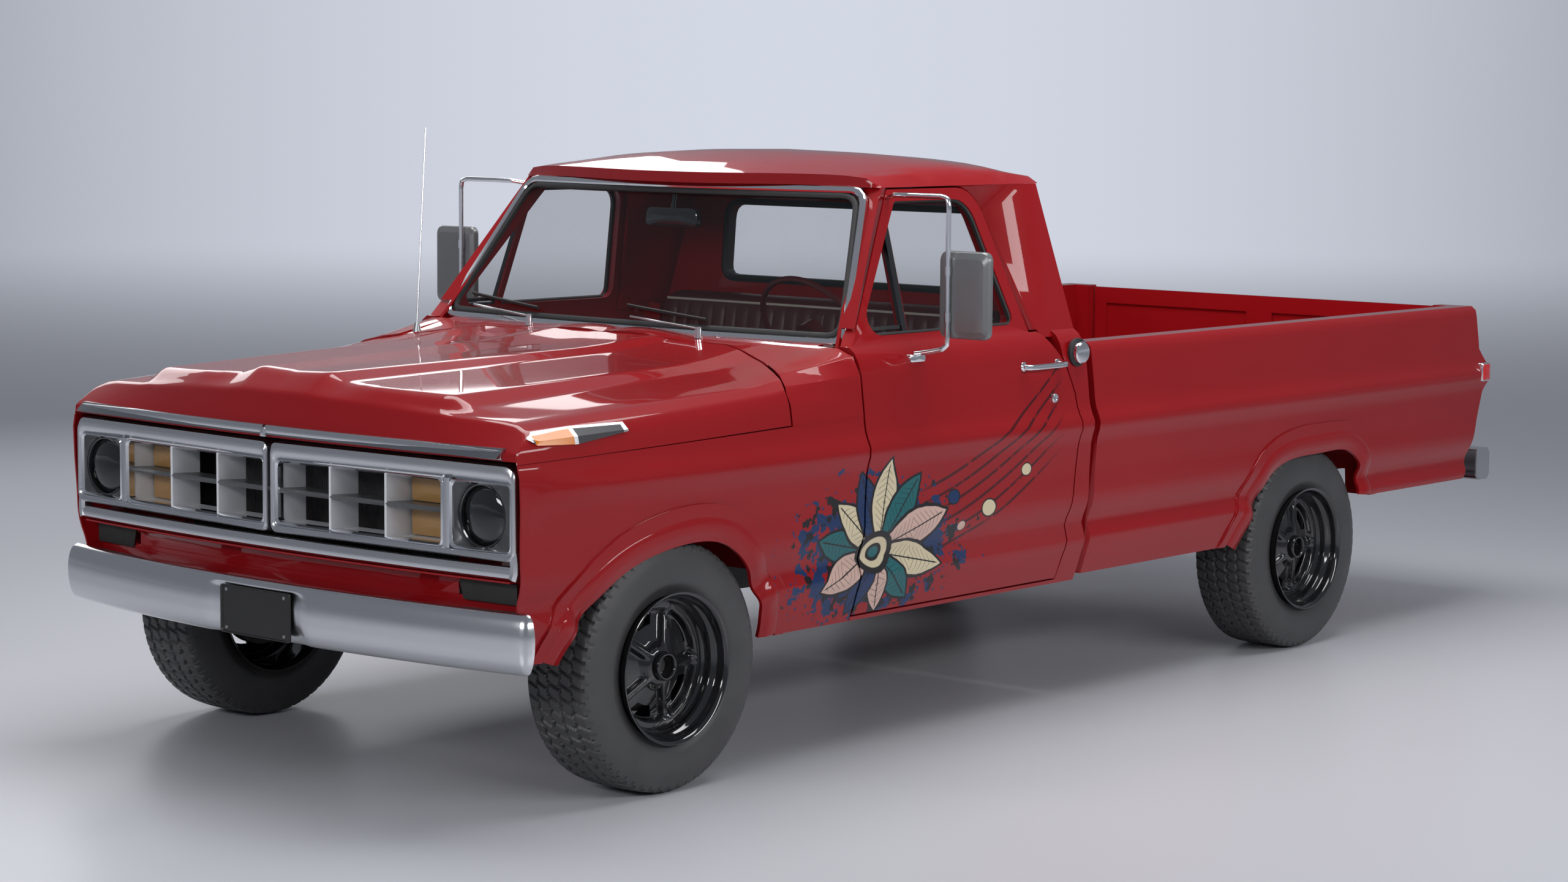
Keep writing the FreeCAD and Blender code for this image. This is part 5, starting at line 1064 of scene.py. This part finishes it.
def screen_station(y, z):
    """Station of the windshield's raked glass, which bows back more towards its top."""
    rise = (z - screen_low) / (screen_high - screen_low)
    return screen_foot + (screen_top - screen_foot) * rise - (0.054 + 0.052 * rise) * (y / screen_half) ** 2


def screen_loop(room):
    """The windshield's outline, grown by some room, on the raked and bowed plane of the glass."""
    low, high = screen_low - room, screen_high + room
    foot_half, top_half = screen_half + room, screen_top_half + room
    edge = rounded([(-foot_half, low), (foot_half, low), (top_half, high), (-top_half, high)], 0.05)
    y, z = resampled(edge, 180, True).T
    out = unit(np.outer(y, (0.0, 0.30 / screen_half, 0.0)) + screen_out)
    return np.stack([screen_station(y, z), y, z], -1), out


def windshield_trim():
    """A flat bright moulding round the glass with a black rubber seal inside it."""
    flat = mm([(-12, -10), (-12, 4), (-8, 8), (6, 9), (11, 6), (12, -10)])
    bead = mm([(-10, -8), (-10, 3), (-4, 6), (5, 5), (9, 1), (10, -8)])
    for name, room, profile, finish in (("moulding", 0.004, flat, chrome), ("seal", -0.014, bead, rubber)):
        path, out = screen_loop(room)
        carried("windshield_" + name, path, profile, out, finish, closed=True)


windshield_trim()


def rear_window_seal():
    """Black rubber round the rear window, proud of both faces of the cab's back."""
    edge = rounded(mm([(-580, 1317), (580, 1317), (560, 1584), (-560, 1584)]), (0.045, 0.045, 0.06, 0.06))
    path = across_at(front_axle - 1.9525, resampled(edge, 120, True))
    bead = mm([(-10, -18), (-10, 22), (0, 26), (12, 22), (12, -18), (0, -22)])
    carried("rear_window_seal", path, bead, forward, rubber, closed=True)


rear_window_seal()


waist_y, waist_z, window_lean = 0.918, 1.216, 0.329


def on_door(x_z, inset, side):
    """Points (x behind the front axle, z) set on the leaning face of the window frame."""
    x_z = np.asarray(x_z, float)
    y = waist_y - window_lean * (x_z[:, 1] - waist_z) - inset
    return np.stack([front_axle + x_z[:, 0], side * y, x_z[:, 1]], -1)


def window_seals(side, hand, body):
    """Black channels round the door's window and up its vent divider."""
    out = (0.0, 0.9499 * side, 0.3125)
    edge = rounded(mm([(-884, 1243), (-1661, 1243), (-1570, 1640), (-1202, 1640)]),
                   (0.05, 0.03, 0.085, 0.016))
    bead = mm([(-7, -8), (-7, 4), (0, 7), (7, 4), (7, -8)])
    loop = on_door(resampled(edge, 120, True), 0.012, side)
    carried("window_seal_" + hand, loop, bead, out, rubber, body, closed=True)
    for name, line, inset, half, foot, finish in (
            ("vent_divider_", [(-1.112, 1.244), (-1.146, 1.638)], 0.012, 0.012, -0.010, gloss_black),
            ("vent_foot_", [(-0.905, 1.262), (-1.098, 1.262)], 0.016, 0.006, -0.006, rubber)):
        bar = [(-half, foot), (-half, 0.004), (half, 0.004), (half, foot)]
        carried(name + hand, on_door(resampled(line, 8), inset, side), bar, out, finish, body)


def door_mirror(side, hand, body):
    """Mirror on its tubular bracket, which stands for the door's hardware."""
    place = np.array([front_axle - 1.116, 0.0, 0.0])
    spine = mm([(-60, 776, 1652), (-24, 830, 1662), (0, 900, 1664), (0, 1030, 1664), (0, 1055, 1658),
                (0, 1060, 1635), (0, 1060, 1240), (0, 1058, 1215), (4, 1045, 1202), (12, 1000, 1192),
                (20, 952, 1184)])
    spine = place + resampled(spine * (1.0, side, 1.0), 90)
    bracket = tube("mirror_bracket_" + hand, spine, 0.008, chrome, body, 14, forward)
    foot = place + along_at(side * 0.945, rounded(corners(-0.014, 1.160, 0.060, 1.184), 0.008))
    pillow("mirror_foot_" + hand, foot, 0.024, 0.003, (0.0, side, 0.0), chrome, body)
    loop = place + across_at(-0.036, rounded(corners(1.013, 1.235, 1.203, 1.500), 0.03) * (side, 1.0))
    shell = [(1.0, 0.0), (0.0, 0.0), (0.0, 0.012), (0.03, 0.018), (0.06, 0.019), (0.16, 0.026),
             (0.18, 0.0265), (0.5, 0.0275), (1.0, 0.028)]
    dished("mirror_shell_" + hand, loop, shrunk(loop, 1.0), shell, forward, mirror_grey, body)
    pillow("mirror_face_" + hand, shrunk(loop, 0.05), 0.0015, 0.0, backward, mirror_glass, body)
    for part, z in (("upper", 1.44), ("lower", 1.30)):
        clamp = place + [(0.0, side * 1.060, z - 0.014), (0.0, side * 1.060, z + 0.014)]
        tube("mirror_clamp_%s_%s" % (part, hand), clamp, 0.0105, chrome, body, 16, forward)
    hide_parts("door_%s_hardware" % hand)


def door_handle(side, hand, body):
    """A bowed grip on two round posts, and the lock below it."""
    outwards = (0.0, side, 0.0)
    place = np.array([front_axle - 1.720, 0.0, 1.113])
    bow = mm([(108, 986), (98, 1000), (70, 1006), (0, 1007), (-70, 1006), (-98, 1000), (-108, 986)])
    path = place + np.column_stack([bow * (1.0, side), 0.0 * bow[:, 0]])
    grip = rounded(mm([(-10, -5), (10, -5), (8, 6), (-8, 6)]), 0.003, 4)
    carried("door_handle_" + hand, resampled(path, 30), grip, outwards, chrome, body)
    post = mm([(0, 0), (0, 17), (6, 16), (12, 10), (30, 9), (34, 0)])
    for k, x in enumerate((0.092, -0.088)):
        turned("handle_post_%s_%d" % (hand, k), post, place + (x, side * 0.966, 0.0), outwards, chrome,
               body, 24)
    lock = mm([(0, 0), (0, 16), (8, 15.5), (11, 13), (11.5, 6), (10, 5), (10, 0)])
    turned("door_lock_" + hand, lock, (front_axle - 1.770, side * 0.984, 1.006), outwards, chrome, body, 32)


for side, hand in both_sides:
    for fittings in (window_seals, door_mirror, door_handle):
        fittings(side, hand, "door_%s_body" % hand)

# Side lamps and the fuel cap


def side_details():
    """Red lamps in bright frames at the bed's ends and the bright fuel cap in its black ring."""
    for side, hand in both_sides:
        edge = rounded(corners(rear_axle - 1.237, 0.886, rear_axle - 1.180, 0.958), 0.008)
        loop = along_at(side * 0.992, edge)
        pillow("side_lamp_frame_" + hand, loop, 0.024, 0.0, (0.0, side, 0.0), chrome)
        lens_loop = shrunk(loop, 0.16) + (0.0, side * 0.02, 0.0)
        pillow("side_lamp_lens_" + hand, lens_loop, 0.007, 0.003, (0.0, side, 0.0), red_lens)
    centre, outwards = (front_axle - 1.912, 0.972, 1.144), (0.0, 1.0, 0.0)
    ring = mm([(-4, 0), (-4, 46), (6, 46), (9, 42), (9, 0)])
    turned("fuel_cap_ring", ring, centre, outwards, rubber)
    cap = mm([(9, 0), (9, 36), (22, 36), (27, 32), (29, 22), (30, 0)])
    turned("fuel_cap", cap, centre, outwards, chrome)


side_details()

# Seat and the cab's inside

seat_front, seat_back = front_axle - 1.330, front_axle - 1.755
seat_half = 0.738
pleat_width = 0.056


def seat_pad(name, outline, radii, seating):
    """A sewn pad: its side outline carried across the cab. Pleats are an even rounded wave that pulls the
    seating side in by a few millimetres; the ends crown in towards their middles."""
    edge = resampled(rounded(outline, radii, 8), 96, True)
    across = np.linspace(-1.0, 1.0, 271)
    fullness = np.sqrt(np.clip(1.0 - np.abs(across) ** 26, 0.0, 1.0))[:, None, None]
    centre = edge.mean(0)
    along = unit(np.roll(edge, -1, 0) - np.roll(edge, 1, 0))
    inward = np.stack([-along[:, 1], along[:, 0]], -1)
    inward *= np.sign(((centre - edge) * inward).sum(1, keepdims=True))
    wave = np.abs(np.sin(np.pi * across * seat_half / pleat_width)) ** 0.6
    groove = (1.0 - wave) * step(np.abs(across), 0.0, 0.01) * (np.abs(across) < 0.97)
    depth = 0.007 * groove[:, None] * seating(edge)[None, :]
    shape = centre + (edge[None] + inward[None] * depth[..., None] - centre) * (0.86 + 0.14 * fullness)
    y = np.broadcast_to((across * seat_half)[:, None], shape.shape[:2])
    grid = capped(np.stack([shape[..., 0], y, shape[..., 1]], -1))
    piece = surface(name, grid, vinyl, closed=(False, True))
    return piece


def cushion_top(edge):
    """Where the cushion is pleated: its upper side."""
    return step(edge[:, 1], 0.86, 0.89)


def back_front(edge):
    """Where the back is pleated: its leaning front, up to the crest."""
    lean = edge[:, 0] - seat_back + 0.19 * (edge[:, 1] - 0.9)
    return step(lean, -0.02, 0.0) * step(-edge[:, 1], -1.235, -1.215)


def bench():
    """Pleated cushion and back with cream piping along their edges."""
    cushion = [(seat_front, 0.755), (seat_front + 0.010, 0.850), (seat_front - 0.012, 0.925),
               (seat_back + 0.02, 0.898), (seat_back - 0.05, 0.880), (seat_back - 0.05, 0.722),
               (seat_front - 0.04, 0.722)]
    back = mm([(30, 895), (-34, 1230), (-62, 1276), (-108, 1268), (-112, 1200), (-70, 760), (-10, 800)])
    pad = seat_pad("seat_cushion", cushion, (0.02, 0.03, 0.035, 0.03, 0.02, 0.02, 0.02), cushion_top)
    seat_pad("seat_back", np.add(back, (seat_back, 0.0)), (0.03, 0.03, 0.03, 0.02, 0.03, 0.02, 0.02),
             back_front)
    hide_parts("bench_seat")
    for name, x, z in (("back_piping", seat_back - 0.040, 1.243),
                       ("cushion_piping", seat_front - 0.004, 0.898)):
        tube(name, [(x, y, z) for y in np.linspace(-0.72, 0.72, 20)], 0.0045, piping, count=8)


bench()


def cab_inside():
    """Inner mirror, instrument panel with its round dials and the lid of the glovebox."""
    hang = front_axle - 1.050
    edge = rounded(mm([(-115, 1540), (115, 1540), (108, 1600), (-108, 1600)]), 0.02)
    pillow("inner_mirror", across_at(hang, edge), 0.022, 0.008, forward, gloss_black)
    stem = [(hang + 0.012, 0.0, 1.585), (hang + 0.006, 0.0, 1.62), (hang - 0.004, 0.0, 1.672)]
    tube("inner_mirror_stem", stem, 0.007, gloss_black, count=10, out=forward)
    face = front_axle - 1.060
    edge = rounded(corners(0.12, 1.045, 0.66, 1.128), 0.02)
    loop = across_at(face + 0.008 - 0.07 * (edge[:, 1] - 1.08), edge)
    pillow("instrument_panel", loop, 0.010, 0.0, backward, gloss_black)
    dial = mm([(0, 0), (0, 37), (16, 36), (16, 31), (12, 30), (12, 0)])
    for k, y in enumerate((0.22, 0.38, 0.54)):
        turned("dial_%d" % k, dial, (face + 0.006, y, 1.087), backward, dull_steel, count=40)
    edge = rounded(corners(-0.62, 1.040, -0.22, 1.122), 0.014)
    loop = across_at(face + 0.006 - 0.07 * (edge[:, 1] - 1.08), edge)
    pillow("glovebox_lid", loop, 0.006, 0.0, backward, dash_red)


cab_inside()


def wiper_blades():
    """Black blades along the foot of the windshield, carried by the two arms."""
    rib = mm([(-4, -6), (-5, 4), (0, 9), (5, 4), (4, -6)])
    for name, y0, y1 in (("right", -0.745, -0.395), ("left", 0.005, 0.345)):
        y, z = np.linspace(y0, y1, 14), np.linspace(1.290, 1.262, 14)
        path = np.stack([screen_station(y, z) + 0.010, y, z + 0.006], -1)
        carried("wiper_blade_" + name, path, rib, screen_out, rubber)


wiper_blades()

# Studio

camera_place = Vector((8.715, 7.133, 2.003))
camera_yaw, camera_pitch, camera_roll = (math.radians(angle) for angle in (220.74, -6.26, 0.5))
frame_width = 2560
focal_pixels = 5343.0
backdrop_shade = (0.56, 0.59, 0.67)
# Painted light and shade on the backdrop: its brightest glow, the least it falls to and how fast it darkens
# to the sides.
backdrop_painted_peak, backdrop_painted_least, backdrop_painted_drop = 1.16, 0.62, 0.42
view_line = (math.cos(camera_yaw), math.sin(camera_yaw))
edge_slope = frame_width / 2 / focal_pixels


def photo_camera():
    """A camera at the photograph's place, from its three angles and its focal length in pixels."""
    ahead = Vector((math.cos(camera_pitch) * view_line[0], math.cos(camera_pitch) * view_line[1],
                    math.sin(camera_pitch)))
    level = ahead.cross(Vector((0, 0, 1))).normalized()
    above = level.cross(ahead)
    right = level * math.cos(camera_roll) + above * math.sin(camera_roll)
    up = above * math.cos(camera_roll) - level * math.sin(camera_roll)
    lens = bpy.data.cameras.new("photo_camera")
    lens.sensor_width = 36.0
    lens.lens = focal_pixels / frame_width * lens.sensor_width
    lens.clip_end = 200.0
    camera = bpy.data.objects.new("photo_camera", lens)
    scene.collection.objects.link(camera)
    camera.matrix_world = Matrix((right, up, -ahead)).transposed().to_4x4()
    camera.location = camera_place
    scene.camera = camera


photo_camera()


def backdrop(finish, east, north):
    """The backdrop's shade that far east and north of the camera, with painted light and shade: brightest
    behind the truck, painted darker with the square of the angle to the sides."""
    ahead_run = east * view_line[0] + north * view_line[1]
    side_run = north * view_line[0] - east * view_line[1]
    slope = side_run / ahead_run * (1.0 / edge_slope)
    # Painted shade: the glow darkens with the square of the angle to the sides.
    fall = (backdrop_painted_peak - slope * slope * backdrop_painted_drop).math("MAXIMUM", backdrop_painted_least)
    brightest = [backdrop_painted_peak * part for part in backdrop_shade]
    return finish.mix(fall * (1.0 / backdrop_painted_peak), (0.0, 0.0, 0.0), brightest)


def studio_floor():
    """A wide pale floor, a little glossy, that far from the truck fades into a glow of the backdrop's
    shade, painted darker to the sides.
    """
    finish = Finish("studio_grey", (0.58, 0.59, 0.63))
    finish.set("Roughness", 0.24 + 0.14 * finish.noise(0.35, 0.0))
    x, y = finish.axes()[:2]
    # Far from the truck the floor glows, without a lamp, with the backdrop's painted light and shade.
    far = (x * x + y * y).math("SQRT").rise(6.0, 30.0)
    shade = backdrop(finish, x - camera_place.x, y - camera_place.y)
    glow = finish.node("ShaderNodeEmission", {}, {"Color": shade})
    own = Wire(finish, finish.shader.outputs[0])
    blend = finish.node("ShaderNodeMixShader", {}, {0: far, 1: own, 2: glow})
    finish.feed(finish.tree.nodes["Material Output"].inputs["Surface"], blend)
    reach = np.linspace(-70.0, 70.0, 15)
    grid = np.stack(np.broadcast_arrays(reach[:, None], reach[None, :], np.zeros((15, 15))), -1)
    surface("studio_floor", grid, finish)


studio_floor()


def soft_light(name, place, target, size, power):
    """A rectangular lamp that faces its target."""
    lamp = bpy.data.lights.new(name, "AREA")
    lamp.shape = "RECTANGLE"
    lamp.size, lamp.size_y = size
    lamp.energy = power
    holder = bpy.data.objects.new(name, lamp)
    scene.collection.objects.link(holder)
    holder.location = place
    holder.rotation_euler = (Vector(target) - Vector(place)).to_track_quat("-Z", "Y").to_euler()


soft_light("ceiling_softbox", (0.4, 0.2, 5.2), (0.0, 0.0, 0.0), (5.5, 2.4), 260.0)
soft_light("side_softbox", (1.0, 7.5, 3.4), (0.0, 0.6, 0.8), (8.0, 0.8), 230.0)
soft_light("nose_softbox", (8.6, 1.2, 3.4), (2.4, 0.0, 0.8), (3.6, 1.2), 150.0)
soft_light("far_softbox", (-2.0, -7.0, 4.0), (0.0, -0.6, 0.8), (7.0, 2.0), 120.0)


class Air(Finish):
    """The nodes of the air round the truck, on the direction of sight."""

    def __init__(self, tree):
        self.tree = tree
        self.place = self.node("ShaderNodeTexCoord", {}, {}, "Generated")


def studio_air():
    """A dim even light all round; the camera and glass see the backdrop's shade instead, with its painted
    falloff to the sides.
    """
    world = bpy.data.worlds.new("studio_air")
    scene.world = world
    world.use_nodes = True
    nodes = world.node_tree.nodes
    air = Air(world.node_tree)
    fill = nodes["Background"]
    fill.inputs["Color"].default_value = (*backdrop_shade, 1.0)
    fill.inputs["Strength"].default_value = 0.34
    seen = air.node("ShaderNodeBackground", {}, {"Color": backdrop(air, *air.axes()[:2])})
    rays = nodes.new("ShaderNodeLightPath").outputs
    sight = Wire(air, rays["Is Camera Ray"]).math("MAXIMUM", Wire(air, rays["Is Transmission Ray"]))
    blend = air.node("ShaderNodeMixShader", {}, {0: sight, 1: Wire(air, fill.outputs[0]), 2: seen})
    air.feed(nodes["World Output"].inputs["Surface"], blend)


studio_air()
scene.view_settings.view_transform = "Standard"
